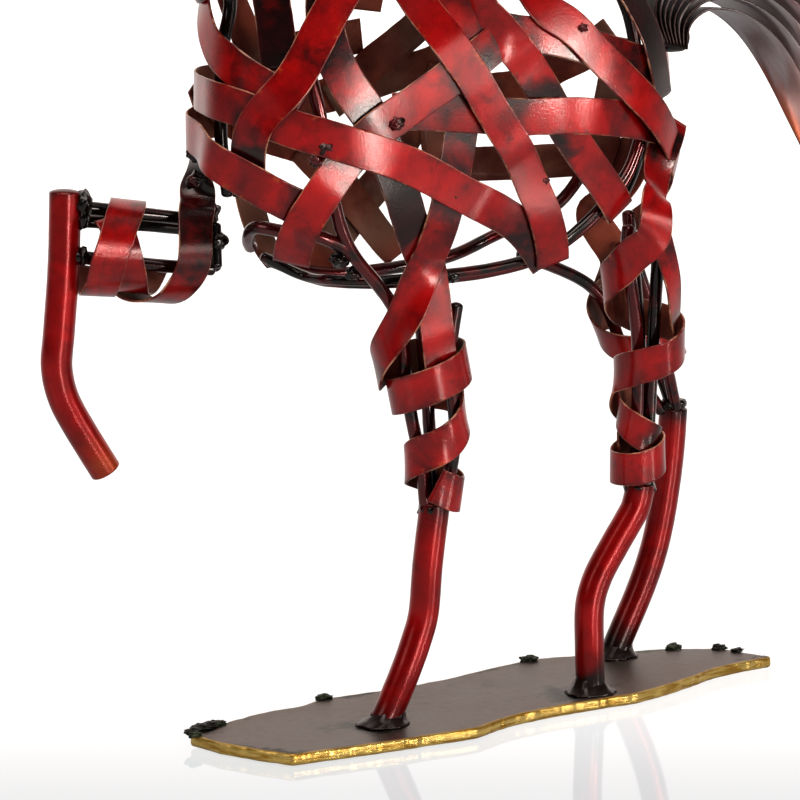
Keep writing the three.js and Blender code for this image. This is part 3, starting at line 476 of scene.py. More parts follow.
class Parts:
    """Vertices, faces and attributes of several closed shells that make one piece."""

    def __init__(self, *keys):
        self.vertices, self.faces = [], []
        self.attributes = {key: [] for key in keys}

    def add(self, vertices, faces, **values):
        base = len(self.vertices)
        self.vertices += [tuple(v) for v in vertices]
        self.faces += [tuple(i + base for i in face) for face in faces]
        for key, rows in self.attributes.items():
            value = values.get(key, 0.0)
            rows += list(value) if hasattr(value, "__len__") else [value] * len(vertices)

    def tube(self, path, radius, sides=12, domed=(0.6, 0.6), lumps=0.05, seed=1, shade=None,
             end_radius=None):
        path = np.array(path, float)
        run = np.concatenate([[0], np.cumsum(np.linalg.norm(np.diff(path, axis=0), axis=1))])
        steps = np.array([0, 0.04, 0.15, 0.35, 0.65, 1.0]) * radius
        fine = np.concatenate([run, steps * domed[0], run[-1] - steps * domed[1]])
        fine = np.unique(np.round(fine, 3))
        fine[-1] = run[-1]
        path = np.stack([np.interp(fine, run, path[:, k]) for k in range(3)], 1)
        run = fine
        count = len(path)
        size = np.full(count, float(radius)) if end_radius is None else np.linspace(radius, end_radius, count)
        for end, dome in ((0, domed[0]), (1, domed[1])):
            distance = run if end == 0 else run[-1] - run
            reach = radius * dome
            close = distance < reach
            size[close] *= np.sqrt(np.clip(1 - (1 - distance[close] / reach) ** 2, 0.02, 1))
        radii = np.array([[size[i] * (1 + lumps * noise.noise(Vector((run[i] / 4.0, a * 1.3, seed))))
                           for a in range(sides)] for i in range(count)])
        rings = tube_rings(path, radii, sides)
        values = dict(run=np.repeat(run, sides), seed=seed)
        values["shade"] = np.repeat(shade(run / run[-1]), sides) if shade else 0.0
        self.add(rings.reshape(-1, 3), loft_faces(count, sides), **values)

    def blob(self, centre, size, squash=(1, 1, 0.8), seed=1, rough=0.28, shade=1.0, **more):
        ball = bmesh.new()
        bmesh.ops.create_icosphere(ball, subdivisions=3, radius=1.0)
        vertices = []
        for v in ball.verts:
            p = np.array(v.co)
            bump = 1 + rough * noise.noise(Vector(p * 1.9) + Vector((seed, 0, 0)))
            bump += 0.4 * rough * noise.noise(Vector(p * 5.0) + Vector((0, seed, 0)))
            vertices.append(np.array(centre) + p * np.array(squash) * size * bump)
        faces = [tuple(v.index for v in f.verts) for f in ball.faces]
        ball.free()
        self.add(vertices, faces, shade=shade, run=0.0, seed=seed, **more)

    def piece(self, name):
        return to_object(name, self.vertices, self.faces, self.attributes)


# ---------------------------------------------------------------- materials
class Graph:
    """A node material, built with short calls."""

    def __init__(self, name):
        self.material = bpy.data.materials.new(name)
        self.material.use_nodes = True
        self.tree = self.material.node_tree
        self.shader = self.tree.nodes["Principled BSDF"]

    def node(self, kind, links=None, **settings):
        node = self.tree.nodes.new(kind)
        for key, value in settings.items():
            setattr(node, key, value)
        for key, value in (links or {}).items():
            self.put(node, key, value)
        return node

    def put(self, node, key, value):
        socket = node.inputs[key]
        if isinstance(value, bpy.types.NodeSocket):
            self.tree.links.new(value, socket)
        elif hasattr(value, "__len__") and len(value) == 3 and socket.type == "RGBA":
            socket.default_value = (*value, 1.0)
        else:
            socket.default_value = value

    def attribute(self, name):
        return self.node("ShaderNodeAttribute", attribute_name=name).outputs["Fac"]

    def place(self):
        return self.node("ShaderNodeTexCoord").outputs["Object"]

    def vector(self, x, y, z):
        return self.node("ShaderNodeCombineXYZ", {0: x, 1: y, 2: z}).outputs[0]

    def noise(self, where, scale, detail=3.0, roughness=0.55, distortion=0.0):
        return self.node("ShaderNodeTexNoise", {
            "Vector": where, "Scale": scale, "Detail": detail, "Roughness": roughness,
            "Distortion": distortion}).outputs["Fac"]

    def math(self, operation, a, b=0.0, clamp=False):
        return self.node("ShaderNodeMath", {0: a, 1: b}, operation=operation, use_clamp=clamp).outputs[0]

    def add(self, a, b):
        return self.math("ADD", a, b)

    def times(self, a, b):
        return self.math("MULTIPLY", a, b)

    def ramp(self, value, low, high, to_low=0.0, to_high=1.0):
        return self.node("ShaderNodeMapRange", {
            "Value": value, "From Min": low, "From Max": high, "To Min": to_low, "To Max": to_high},
            interpolation_type="SMOOTHSTEP").outputs["Result"]

    def mix(self, factor, a, b, blend="MIX"):
        node = self.tree.nodes.new("ShaderNodeMix")
        node.data_type = "RGBA"
        node.blend_type = blend
        node.clamp_factor = True
        self.put(node, 0, factor)
        self.put(node, 6, a)
        self.put(node, 7, b)
        return node.outputs[2]

    def bump(self, height, strength, distance, normal=None):
        links = {"Height": height, "Strength": strength, "Distance": distance}
        if normal is not None:
            links["Normal"] = normal
        return self.node("ShaderNodeBump", links).outputs["Normal"]

    def surface(self, **sockets):
        for key, value in sockets.items():
            self.put(self.shader, key.replace("_", " "), value)
        return self.material


def srgb(r, g, b):
    return tuple(((c / 255 + 0.055) / 1.055) ** 2.4 if c > 10 else c / 255 / 12.92 for c in (r, g, b))


def lacquered_strip():
    g = Graph("red_lacquer")
    place = g.place()
    seed = g.attribute("seed")
    run, cross = g.attribute("run"), g.attribute("cross")
    own = g.vector(g.times(run, 0.03), g.times(cross, 0.16), seed)
    cloud = g.noise(own, 2.2, 4, 0.6, 0.3)
    patch = g.noise(own, 0.9, 3, 0.6, 0.6)
    blotch = g.noise(own, 3.4, 4, 0.65, 0.4)
    grain = g.noise(place, 2400.0, 2, 0.6)
    leather = g.noise(place, 1500.0, 2, 0.5, 0.3)
    fine = g.noise(place, 5200.0, 1, 0.5)
    red = g.mix(g.ramp(cloud, 0.32, 0.7), srgb(136, 2, 5), srgb(196, 8, 10))
    red = g.mix(g.ramp(blotch, 0.46, 0.76, 0, 0.75), red, srgb(84, 2, 6))
    # Painted shade where the strip passes under others (shade), with the strip's own darker paint (tone) and
    # dark patches, turns the red towards black.
    shade_and_dark_paint = g.add(g.times(g.attribute("shade"), 0.85), g.attribute("tone"))
    shade_and_dark_paint = g.add(shade_and_dark_paint, g.ramp(patch, 0.38, 0.74, -0.2, 0.8))
    shade_and_dark_paint = g.add(shade_and_dark_paint, g.ramp(blotch, 0.35, 0.7, -0.15, 0.2))
    shade_and_dark_paint = g.ramp(shade_and_dark_paint, 0.2, 1.25)
    dark = g.mix(g.ramp(cloud, 0.35, 0.7), srgb(18, 4, 5), srgb(48, 8, 10))
    outer = g.mix(shade_and_dark_paint, red, dark)
    margin = g.ramp(g.math("ABSOLUTE", cross), 0.62, 1.0)
    outer = g.mix(g.times(margin, g.ramp(blotch, 0.3, 0.7, 0.1, 0.6)), outer, srgb(58, 5, 8))
    glint = g.times(g.ramp(g.noise(own, 7.0, 3, 0.7), 0.56, 0.72), margin)
    outer = g.mix(g.times(glint, g.ramp(shade_and_dark_paint, 0.6, 0.0, 0, 0.7)), outer, srgb(214, 92, 40))
    # Painted highlight along the strip edges: cream in patches, dark red between them.
    rim = g.mix(g.ramp(g.noise(own, 5.0, 3, 0.6), 0.42, 0.66), srgb(112, 18, 14), srgb(250, 184, 144))
    outer = g.mix(g.attribute("edge"), outer, rim)
    own_brown = g.noise(g.vector(seed, g.times(run, 0.006), 0.0), 3.0, 1, 0.5)
    inside = g.mix(g.ramp(own_brown, 0.42, 0.58), srgb(156, 74, 54), srgb(118, 88, 74))
    inside = g.mix(g.ramp(g.noise(place, 45.0, 4, 0.6), 0.34, 0.68), inside, srgb(84, 34, 28))
    inside = g.mix(g.ramp(grain, 0.45, 0.85, 0, 0.2), inside, srgb(168, 104, 80))
    inner = g.attribute("inner")
    colour = g.mix(inner, outer, inside)
    rough = g.add(g.ramp(leather, 0.2, 0.8, 0.26, 0.36), g.times(inner, 0.22))
    height = g.add(g.times(leather, 0.8), g.times(grain, 0.5))
    height = g.add(height, g.times(fine, 0.12))
    normal = g.bump(height, 0.5, 0.00007)
    metal = g.ramp(inner, 0.2, 1.0, 0.25, 0.1)
    coat = g.ramp(inner, 0.0, 1.0, 0.9, 0.05)
    return g.surface(Base_Color=colour, Metallic=metal, Roughness=rough, Normal=normal, Coat_Weight=coat,
                     Coat_Roughness=0.15, Coat_IOR=1.5, Coat_Normal=normal, Specular_IOR_Level=0.1)


def rod_lacquer(name, red, black, rough_low, rough_high):
    g = Graph(name)
    place = g.place()
    shade = g.attribute("shade")
    cloud = g.noise(place, 90.0, 4, 0.6, 0.4)
    mask = g.add(g.times(shade, 0.9), g.ramp(cloud, 0.3, 0.75, -0.45, 0.6))
    mask = g.ramp(mask, 0.15, 0.75)
    colour = g.mix(mask, red, black)
    peel = g.noise(place, 700.0, 2, 0.5)
    fine = g.noise(place, 2600.0, 1, 0.5)
    normal = g.bump(g.add(g.times(peel, 0.8), g.times(fine, 0.25)), 0.3, 0.00016)
    rough = g.ramp(cloud, 0.25, 0.75, rough_low, rough_high)
    return g.surface(Base_Color=colour, Metallic=0.6, Roughness=rough, Normal=normal, Coat_Weight=0.8,
                     Coat_Roughness=0.09, Specular_IOR_Level=0.3)


def leg_lacquer():
    g = Graph("leg_lacquer")
    place = g.place()
    shade = g.attribute("shade")
    cloud = g.noise(place, 60.0, 4, 0.6, 0.6)
    patch = g.noise(place, 26.0, 3, 0.6, 0.4)
    red = g.mix(g.ramp(cloud, 0.3, 0.72), srgb(132, 1, 3), srgb(188, 4, 7))
    mask = g.ramp(g.add(shade, g.ramp(patch, 0.35, 0.8, -0.2, 0.45)), 0.15, 1.0)
    colour = g.mix(mask, red, srgb(24, 9, 8))
    ember = g.times(g.attribute("glow"), g.ramp(g.noise(place, 110.0, 4, 0.6), 0.3, 0.65, 0.3, 1.0))
    colour = g.mix(ember, colour, srgb(172, 66, 34))
    peel = g.noise(place, 420.0, 2, 0.5)
    fine = g.noise(place, 2600.0, 2, 0.5)
    normal = g.bump(g.add(g.times(peel, 0.7), g.times(fine, 0.25)), 0.28, 0.0002)
    return g.surface(Base_Color=colour, Metallic=0.4, Roughness=g.ramp(cloud, 0.25, 0.75, 0.26, 0.38),
                     Normal=normal, Coat_Weight=0.55, Coat_Roughness=0.2, Specular_IOR_Level=0.1)


def plate_metal():
    g = Graph("bronzed_plate")
    place = g.place()
    edge = g.attribute("edge")
    rim = g.attribute("rim")
    cloud = g.noise(place, 22.0, 5, 0.62, 0.5)
    fine = g.noise(place, 300.0, 3, 0.6)
    top = g.mix(g.ramp(cloud, 0.3, 0.7), srgb(92, 83, 77), srgb(118, 107, 100))
    top = g.mix(g.ramp(fine, 0.4, 0.8, 0, 0.3), top, srgb(56, 50, 46))
    crust = g.add(g.attribute("crust"), g.ramp(g.noise(place, 70.0, 4, 0.65), 0.3, 0.7, -0.5, 0.5))
    slag = g.mix(g.ramp(g.noise(place, 160.0, 3), 0.4, 0.65), srgb(18, 20, 15), srgb(46, 58, 38))
    top = g.mix(g.ramp(crust, 0.3, 0.7), top, slag)
    near = g.ramp(edge, 0.6, 0.0)
    worn = g.times(near, g.ramp(g.noise(place, 130.0, 3), 0.4, 0.6, 0.0, 0.9))
    top = g.mix(worn, top, srgb(160, 124, 60))
    run, level = g.attribute("run"), g.attribute("level")
    line = g.vector(g.times(run, 0.09), g.times(level, 0.09), 0.0)
    cut = g.noise(line, 1.0, 4, 0.6, 0.4)
    gold = g.mix(g.ramp(cut, 0.32, 0.62), srgb(188, 140, 40), srgb(246, 212, 118))
    low = g.ramp(g.add(level, g.ramp(cut, 0.3, 0.7, -7, 7)), 15.0, 5.0)
    gold = g.mix(g.times(low, 0.35), gold, srgb(142, 98, 26))
    gold = g.mix(g.ramp(g.noise(line, 0.35, 3, 0.6), 0.58, 0.76, 0, 0.4), gold, srgb(96, 74, 30))
    colour = g.mix(rim, top, gold)
    rough = g.add(g.ramp(cloud, 0.25, 0.75, 0.34, 0.5), g.times(rim, -0.14))
    height = g.add(g.times(fine, 0.5), g.times(g.times(cut, rim), 1.2))
    normal = g.bump(height, 0.35, 0.0005)
    return g.surface(Base_Color=colour, Metallic=0.75, Roughness=rough, Normal=normal, Coat_Weight=0.12,
                     Coat_Roughness=0.3)


def tail_steel():
    g = Graph("coppered_steel")
    place = g.place()
    run, cross = g.attribute("run"), g.attribute("cross")
    way = g.attribute("shade")
    seed = g.attribute("seed")
    own = g.vector(g.times(run, 0.02), g.times(cross, 0.5), seed)
    cloud = g.noise(own, 2.0, 4, 0.6, 0.3)
    lengthwise = g.vector(g.times(run, 0.05), g.times(cross, 9.0), seed)
    brushed = g.noise(lengthwise, 3.0, 4, 0.7)
    shift = g.add(way, g.ramp(cloud, 0.3, 0.7, -0.08, 0.08))
    silver = g.mix(g.ramp(shift, 0.04, 0.2), srgb(26, 18, 18), srgb(176, 170, 172))
    mauve = g.mix(g.ramp(shift, 0.26, 0.52), silver, srgb(150, 118, 116))
    copper = g.mix(g.ramp(shift, 0.5, 0.95), mauve, srgb(176, 124, 88))
    glow = g.times(g.ramp(cross, 0.1, 1.0), g.ramp(shift, 0.25, 0.6))
    colour = g.mix(g.times(glow, 0.8), copper, srgb(204, 92, 44))
    colour = g.mix(g.times(g.attribute("edge"), 0.8), colour, srgb(40, 18, 16))
    normal = g.bump(brushed, 0.25, 0.0001)
    return g.surface(Base_Color=colour, Metallic=0.9, Roughness=g.ramp(brushed, 0.2, 0.8, 0.27, 0.42),
                     Normal=normal, Coat_Weight=0.2, Coat_Roughness=0.2)


RED_STRIP = lacquered_strip()
ROD = rod_lacquer("rod_lacquer", srgb(96, 10, 14), srgb(16, 8, 8), 0.16, 0.3)
BLACK_ROD = rod_lacquer("black_rod_lacquer", srgb(40, 9, 10), srgb(12, 8, 8), 0.16, 0.3)
LEG = leg_lacquer()
PLATE = plate_metal()
TAIL = tail_steel()

# ---------------------------------------------------------------- the woven strips
# How dark each strip's paint is, as a whole or at fractions of its length.
TONES = {
    "brisket_high": -0.1, "brisket_girth": 0.05, "brisket_low": 0.3, "shoulder": 0.1, "rib_cross": 0.18,
    "elbow": [(0, 0.6), (0.25, 0.4), (0.5, 0.6), (0.62, 0.6), (0.74, -0.5), (1, -0.6)],
    "flank_over": -0.2, "foreleg": -0.02, "loin": -0.08, "flank_band": -0.15, "croup": -0.25, "hip": -0.45,
    "stifle": -0.15, "tail_head": 1.3, "throat_near": 0.95, "thigh": 0.0,
    "knee_raised_wrap": [(0, 1.4), (0.26, 1.2), (0.42, 0.3), (0.5, 0.3), (0.75, 0.25), (1, 0.1)],
    "knee_raised_cross": -0.9, "far_throat": 0.6,
}
straps = weave()
for number, (name, strap) in enumerate(straps.items()):
    obj = ribbon(name, strap, TONES.get(name, 0.05), number + 1)
    finish_piece(obj, name, RED_STRIP)

# ---------------------------------------------------------------- rods
INSET, HOCK_INSET, SPINE_DEPTH, NECK_INSET, RING_ROD = -3.4, -5.0, 5.6, -5.6, 1.7


def rod_place(entry, depth):
    if len(entry) == 3 and not isinstance(entry[0], str):
        return np.array(entry, float)
    point, normal, on_barrel = waypoint(entry)
    return point - normal * depth if on_barrel else point


def rod(parts, entries, radius=ROD_RADIUS, depth=ROD_DEPTH, seed=1, dark=0.3, ends=None):
    path = smooth_path([rod_place(entry, depth) for entry in entries], 1.6)
    shade = lambda f: dark + 0.5 * np.array([noise.noise(Vector((t * 6, seed, 0))) for t in f])
    parts.tube(path, radius, 14, seed=seed, shade=shade, lumps=0.05)
    return path


KEYS = ("shade", "run", "seed")
belly = [(-97, -37), (-92, -48), (-75, -50), (-57, -57), (-25, -64), (19, -62), (43, -50), (50, -39),
         (56, -27), (62, -15), (66, -4)]
parts = Parts(*KEYS)
rod(parts, belly, RING_ROD, seed=2, dark=0.1)
rod(parts, [(a, e + 3.2) for a, e in belly], RING_ROD, seed=3, dark=0.8)
rod(parts, [(-97, -36), (-111, -49), (-133, -61), (151, -60), (128, -42), (114, -26), (108, -12)], seed=4,
    dark=0.4)
# Weld beads: azimuth, elevation, height over the barrel's surface, size.
RED_BEADS = [
    (-60, -2, 2.6, 2.6), (-62, -5, 2.2, 2.3), (-43, 6, 3.2, 2.4), (-20, -25, 1.9, 1.6),
    (27, -19, 2.0, 1.6), (44, 35, 2.4, 1.6)]
BLACK_BEADS = [
    (-62, -37, -2.4, 3.0), (-61, -44, -2.4, 2.8), (-14, -62, -2.4, 2.4), (-96, -10, 1.2, 3.4),
    (-94, -17, 1.0, 3.6), (-97, -4, 0.8, 3.0)]
for number, (azimuth, elevation, height, size) in enumerate(RED_BEADS + BLACK_BEADS):
    spot, normal, _ = waypoint((azimuth, elevation))
    parts.blob(spot + normal * height, size, (1, 0.8, 0.85), seed=70 + number, rough=0.55,
               shade=0.25 if number < len(RED_BEADS) else 0.9)
finish_piece(parts.piece("belly_ring"), "belly_rods", ROD)

parts = Parts(*KEYS)
rod(parts, [(-91, -15), (-91, 0), (-91, 18), (-91, 31), (NK, 38, -90, NECK_INSET), (NK, 60, -90, NECK_INSET),
            (NK, 84, -90, NECK_INSET), (NK, 100, -90, NECK_INSET)], depth=SPINE_DEPTH, seed=5, dark=0.8)
rod(parts, [(NK, 100, 90, NECK_INSET), (NK, 80, 90, NECK_INSET), (NK, 54, 90, NECK_INSET),
            (NK, 38, 90, -10), (-90, 80), (-90, 89), (90, 80), (90, 66), (90, 48), (90, 30), (90, 12),
            (90, -8), (92, -24)], depth=SPINE_DEPTH, seed=6, dark=0.8)
rod(parts, [(NK, 88, 90, NECK_INSET), (NK, 88, -90, NECK_INSET)], seed=7, dark=0.8)
finish_piece(parts.piece("spine_frame"), "spine_rods", BLACK_ROD)

parts = Parts(*KEYS)
rod(parts, [(-64, 20), (-61, 7), (-59, -14), (-58, -35), (NF, 10, -80, INSET), (NF, 36, -92, -4.4),
            (NF, 62, -90, -3.8), (NF, 76, -80, -4.8)], seed=8, dark=0.25)
rod(parts, [(-94, -30), (-88, -26), (-80, -22), (-72, -24), (-65, -27), (-60, -33), (-58, -38)], seed=9,
    dark=0.1)
rod(parts, [(NF, 6, 52, INSET), (NF, 28, 50, -5), (NF, 52, 45, -4.6), (NF, 76, 40, -4.8)], seed=10, dark=0.5)
rod(parts, [(NF, 6, 168, INSET), (NF, 40, 165, -4), (NF, 76, 160, -4.8)], seed=11, dark=0.6)
parts.blob((-32, -19, 76), 5, seed=12)
finish_piece(parts.piece("fore_frame"), "fore_rods", ROD)

parts = Parts(*KEYS)
rod(parts, [(NH, 16, -50, -5), (NH, 28, -62, -4), (NH, 60, -62, HOCK_INSET), (NH, 109, -60, HOCK_INSET)],
    seed=13, dark=0.3)
rod(parts, [(78, -10), (NH, 14, 78, -4), (NH, 60, 75, HOCK_INSET), (NH, 109, 60, HOCK_INSET)], seed=14,
    dark=0.7)
rod(parts, [(NH, 14, 172, -4), (NH, 60, 170, HOCK_INSET), (NH, 109, 175, HOCK_INSET)], seed=15, dark=0.6)
parts.blob((50, -14, 76), 5, seed=16)
finish_piece(parts.piece("hind_frame"), "hind_rods", ROD)

parts = Parts(*KEYS)
rod(parts, [(116, -46), (FH, 16, -116, -4), (FH, 44, -116, -4.6), (FH, 70, -100, -4.8)], seed=17, dark=0.5)
rod(parts, [(FH, 6, 10, -4.6), (FH, 40, 20, -4.6), (FH, 70, 20, -4.8)], seed=18, dark=0.4)
rod(parts, [(FH, 4, 140, -6.4), (FH, 40, 140, -5.2), (FH, 70, 140, -4.8)], seed=19, dark=0.6)
for number, (x, y, z, size) in enumerate([
        (84.4, 24, 96.6, 2.5), (88, 22.8, 97, 2.2), (90.6, 26, 96.4, 2.3), (86, 28, 96.6, 2.4)]):
    parts.blob((x, y, z), size, seed=20 + number, rough=0.2)
finish_piece(parts.piece("far_hind_frame"), "far_hind_rods", ROD)

parts = Parts(*KEYS)
rod(parts, [(-99, 6, 172), (-120, 9, 175), (-141.5, 12, 178), (-146, 12.5, 178.6)], seed=21, dark=0.7)
rod(parts, [(-100, 3, 157), (-120, 6, 159), (-142, 11, 162), (-146, 12, 162.6)], seed=22, dark=0.6)
rod(parts, [(-97, 19, 168), (-120, 19, 171), (-142.5, 16, 173.5), (-146, 15.5, 174)], seed=23, dark=0.6)
parts.blob((-142.2, 10.5, 179.5), 3.6, (0.7, 1, 1.2), seed=61, rough=0.35)
parts.blob((-142.4, 11, 175), 3.0, (0.7, 1, 1.2), seed=62, rough=0.35)
parts.blob((-142.6, 10.5, 162.5), 2.9, (0.7, 1, 1), seed=63, rough=0.35)
rod(parts, [(-99, 6, 172), (-100, 3, 157)], seed=24, dark=0.9)
rod(parts, [(-100, 3, 157), (-97, 19, 168)], seed=25, dark=0.9)
parts.blob((-99, 5, 166), 4, seed=26)
finish_piece(parts.piece("raised_frame"), "raised_rods", BLACK_ROD)

# ---------------------------------------------------------------- lower legs
LEG_KEYS = ("shade", "run", "seed", "glow")
FOOT_HEIGHT = 4.6
LOWER_LEGS = {
    "near_fore_cannon": [
        (-31.5, -19.5, 79), (-34, -19, 58), (-35, -18, 41), (-38, -18, 31), (-42, -18, 21),
        (-47, -17, 9), (-49.5, -17, FOOT_HEIGHT)],
    "near_hind_cannon": [
        (50.6, -14.4, 78), (49, -14, 70), (47, -14, 66), (41, -13, 56), (35, -12, 45), (32, -12, 35),
        (32, -12, 22), (33, -11, 10), (33, -11, FOOT_HEIGHT)],
    "far_hind_cannon": [
        (87.4, 25.6, 96), (87, 27, 78), (85, 28, 59), (82, 29, 43), (77, 30, 28), (69, 31, 10),
        (67, 31, FOOT_HEIGHT)],
}
FOOT_DARKNESS = {"near_fore_cannon": 0.95, "near_hind_cannon": 0.95, "far_hind_cannon": 1.2}
# Weld fillet where a leg meets the plate: height, reach from the leg's line.
FILLET = ((4.32, 9.4), (4.9, 8.6), (5.8, 7.2), (7.2, 6.2), (9.0, 5.4), (10.5, 4.6))
FILLET_SIDES = 40


def leg_shade(top, foot):
    return lambda f: top * np.exp(-(f / 0.06) ** 2) + foot * np.exp(-((1 - f) / 0.16) ** 2)


def foot_fillet(parts, path, number):
    (x, y, _), above = path[-1], path[-2]
    lean = (above[0] - x) / (above[2] - FOOT_HEIGHT)
    rings = []
    for level, reach in FILLET:
        for k in range(FILLET_SIDES):
            t = 2 * math.pi * k / FILLET_SIDES
            c, s = math.cos(t), math.sin(t)
            uneven = reach * (1 + 0.16 * noise.noise(Vector((c * 2.2, s * 2.2, level * 0.5 + number))))
            rings.append((x + lean * (level - FOOT_HEIGHT) + uneven * c, y + uneven * 0.85 * s, level))
    parts.add(rings, loft_faces(len(FILLET), FILLET_SIDES), shade=1.4, run=0, seed=number)


for number, (name, path) in enumerate(LOWER_LEGS.items()):
    parts = Parts(*LEG_KEYS)
    parts.tube(smooth_path(path, 1.4), LEG_RADIUS, 32, domed=(0.3, 0.0), lumps=0.012, seed=30 + number,
               shade=leg_shade(0.7, FOOT_DARKNESS[name]))
    foot_fillet(parts, path, number)
    finish_piece(parts.piece("leg_" + name), name, LEG)

RAISED = [
    (-147, 14, 184), (-148, 14, 160), (-150, 14, 138), (-151, 14, 127), (-149, 14, 117),
    (-144, 14, 107), (-134.4, 14, 91)]
EMBER_REACH = 11.0
parts = Parts(*LEG_KEYS)
parts.tube(smooth_path(RAISED, 1.4), LEG_RADIUS, 32, domed=(0.28, 0.16), lumps=0.012, seed=40,
           shade=lambda f: 0.6 * np.exp(-(f / 0.04) ** 2))
tip = np.array(RAISED[-1])
from_tip = [np.linalg.norm((np.array(v) - tip) * (1, 0, 1)) for v in parts.vertices]
parts.attributes["glow"] = [float(np.exp(-(d / EMBER_REACH) ** 2)) for d in from_tip]
finish_piece(parts.piece("leg_raised"), "raised_cannon", LEG)

# ---------------------------------------------------------------- plate
PLATE_CORNERS = [
    (-113, -1), (-108, -14), (-99, -29), (-92, -38), (-73, -38), (-53, -37), (-23, -35), (-8, -27), (15, -22),
    (49, -19), (70, -11), (93, 0), (119, 5), (108, 25), (88, 34), (63, 37), (39, 41), (13, 34), (-6, 28),
    (-32, 24), (-54, 23), (-66, 17), (-80, 15), (-96, 9)]

OUTLINE_STEP = 0.9
FOOT_STAINS = [(-53, -19), (30, -12), (66, 29)]
# Lumps of slag left on the plate's edge: x, y, size.
SLAG = [(-110.5, 0.5, 2.4), (-107, 3, 2.7), (-103, 4.6, 2.4), (-99.5, 6.4, 2.1), (-111.5, -3.5, 1.8),
        (-54, 21.5, 2.4), (36, 38.5, 2.6), (92, 31, 2.6), (107, 23.5, 2.2), (111, 17, 1.7)]


def plate():
    closed = np.array(PLATE_CORNERS + PLATE_CORNERS[:1], float)
    outline, _ = even_steps(closed, closed, OUTLINE_STEP)
    outline = outline[:-1]
    count = len(outline)
    for _ in range(3):
        outline = (np.roll(outline, 1, 0) + 2 * outline + np.roll(outline, -1, 0)) / 4
    tangent = rows_unit(np.roll(outline, -1, 0) - np.roll(outline, 1, 0))
    outward = np.column_stack([tangent[:, 1], -tangent[:, 0]])
    run = np.arange(count) * OUTLINE_STEP
    wave = np.array([0.55 * wobble(3, u, 9.0) + 0.3 * wobble(4, u, 3.1) - 0.35 for u in run])
    rings, edge, rim, level, crust = [], [], [], [], []

    def ring(inset, height, rim_value, edge_value, jag=0.0):
        for i in range(count):
            out = wave[i] - inset + jag * wobble(8, run[i], 1.7)
            p = outline[i] + outward[i] * out
            left = math.exp(-((p[0] + 104) / 16) ** 2)
            back = 0.6 if p[1] > 20 else 0.0
            z = height(p) if callable(height) else height
            rings.append((p[0], p[1], z))
            edge.append(edge_value)
            rim.append(rim_value)
            level.append(z * 8)
            crust.append(max(left, back) * max(0.0, 1 - inset / 7))

    ring(0.9, 0.0, 1.0, 0.0, 0.1)
    ring(0.25, 0.35, 1.0, 0.0, 0.3)
    ring(0.0, 1.2, 1.0, 0.0, 0.35)
    ring(0.05, 2.2, 1.0, 0.0, 0.3)
    ring(0.1, 3.2, 1.0, 0.0, 0.25)
    ring(0.3, 3.75, 0.9, 0.0, 0.2)
    ring(0.75, 3.98, 0.25, 0.2, 0.1)

    def top(p):
        return 4.0 + 0.12 * noise.noise(Vector((p[0] / 14, p[1] / 14, 1.0)))

    ring(1.5, top, 0.0, 0.5)
    ring(2.6, top, 0.0, 1.0)
    last = [np.array(v) for v in rings[-count:]]
    middle = np.array([np.array([v[0] * 0.8, 0.5 * (3 + v[0] * 0.09), 0]) for v in last])
    steps = 9
    for s in range(1, steps + 1):
        f = s / (steps + 0.5)
        for i in range(count):
            p = last[i] * (1 - f) + middle[i] * f
            rings.append((p[0], p[1], top(p)))
            edge.append(1.0)
            rim.append(0.0)
            level.append(32)
            stains = [math.exp(-((p[0] - x) ** 2 + (p[1] - y) ** 2) / 90) for x, y in FOOT_STAINS]
            crust.append(0.85 * max(stains))
    total = len(rings) // count
    faces = loft_faces(total, count, closed_ends=False)
    faces.append(tuple(reversed(range(count))))
    base = (total - 1) * count
    half = count // 2
    for i in range(half):
        a, b = base + i, base + i + 1
        c, d = base + (count - 1 - i), base + (count - 2 - i) % count
        if len({a, b, c, d}) == 4:
            faces.append((a, b, base + (count - 2 - i), c))
        elif len({a, b, c}) == 3:
            faces.append((a, b, c))
    parts = Parts("edge", "rim", "level", "crust", "run")
    parts.add(rings, faces, edge=edge, rim=rim, level=level, crust=crust, run=np.tile(run, total))
    for number, (x, y, size) in enumerate(SLAG):
        parts.blob((x, y, 4.5), size, (1.3, 0.8, 0.55), seed=80 + number, rough=0.6, edge=1.0, crust=1.2)
    return parts.piece("base_plate_look")


finish_piece(plate(), "base_plate", PLATE)

# ---------------------------------------------------------------- head
FACE = [
    (-100, 372, 10, 7), (-108, 365, 17, 11), (-120, 355, 18.5, 12), (-133, 342, 13.5, 10.5),
    (-146, 329, 10, 8.5), (-157, 318, 9.6, 8), (-164, 311, 7.5, 6.4)]


def head():
    stations = np.array(FACE, float)
    fine, _ = even_steps(stations, stations, 2.0)
    parts = Parts("shade", "run", "seed", "glow")
    down = np.array([-0.73, 0, -0.68])
    brow = np.array([0.68, 0, -0.73]) * -1
    sides = 36
    rings = []
    for i, (x, z, depth, width) in enumerate(fine):
        end = min(i, len(fine) - 1 - i)
        cap = math.sqrt(min(1.0, (end + 0.35) / 3.2))
        for k in range(sides):
            a = 2 * math.pi * k / sides
            c, s = math.cos(a), math.sin(a)
            p = np.array([x, 0, z]) + brow * depth * cap * c + np.array([0, 1.0, 0]) * width * cap * s
            rings.append(p)
    parts.add(rings, loft_faces(len(fine), sides), shade=0.25, run=0, seed=5)
    for side in (-1, 1):
        root, tip = np.array([-103, side * 6, 375.0]), np.array([-105, side * 9, 399.5])
        parts.tube(smooth_path([root, root * 0.55 + tip * 0.45 + np.array([1.5, 0, 0]), tip], 1.5), 3.9, 16,
                   domed=(0.2, 0.2), seed=50 + side, end_radius=0.8)
    return parts.piece("head_look")


finish_piece(head(), "head", LEG)

# ---------------------------------------------------------------- tail and mane
TAIL_PATH = [
    (72, 225), (73, 233), (80, 238), (89, 237.5), (100, 231.5), (110, 221.5), (119, 208), (130, 187),
    (140, 163), (146, 142)]


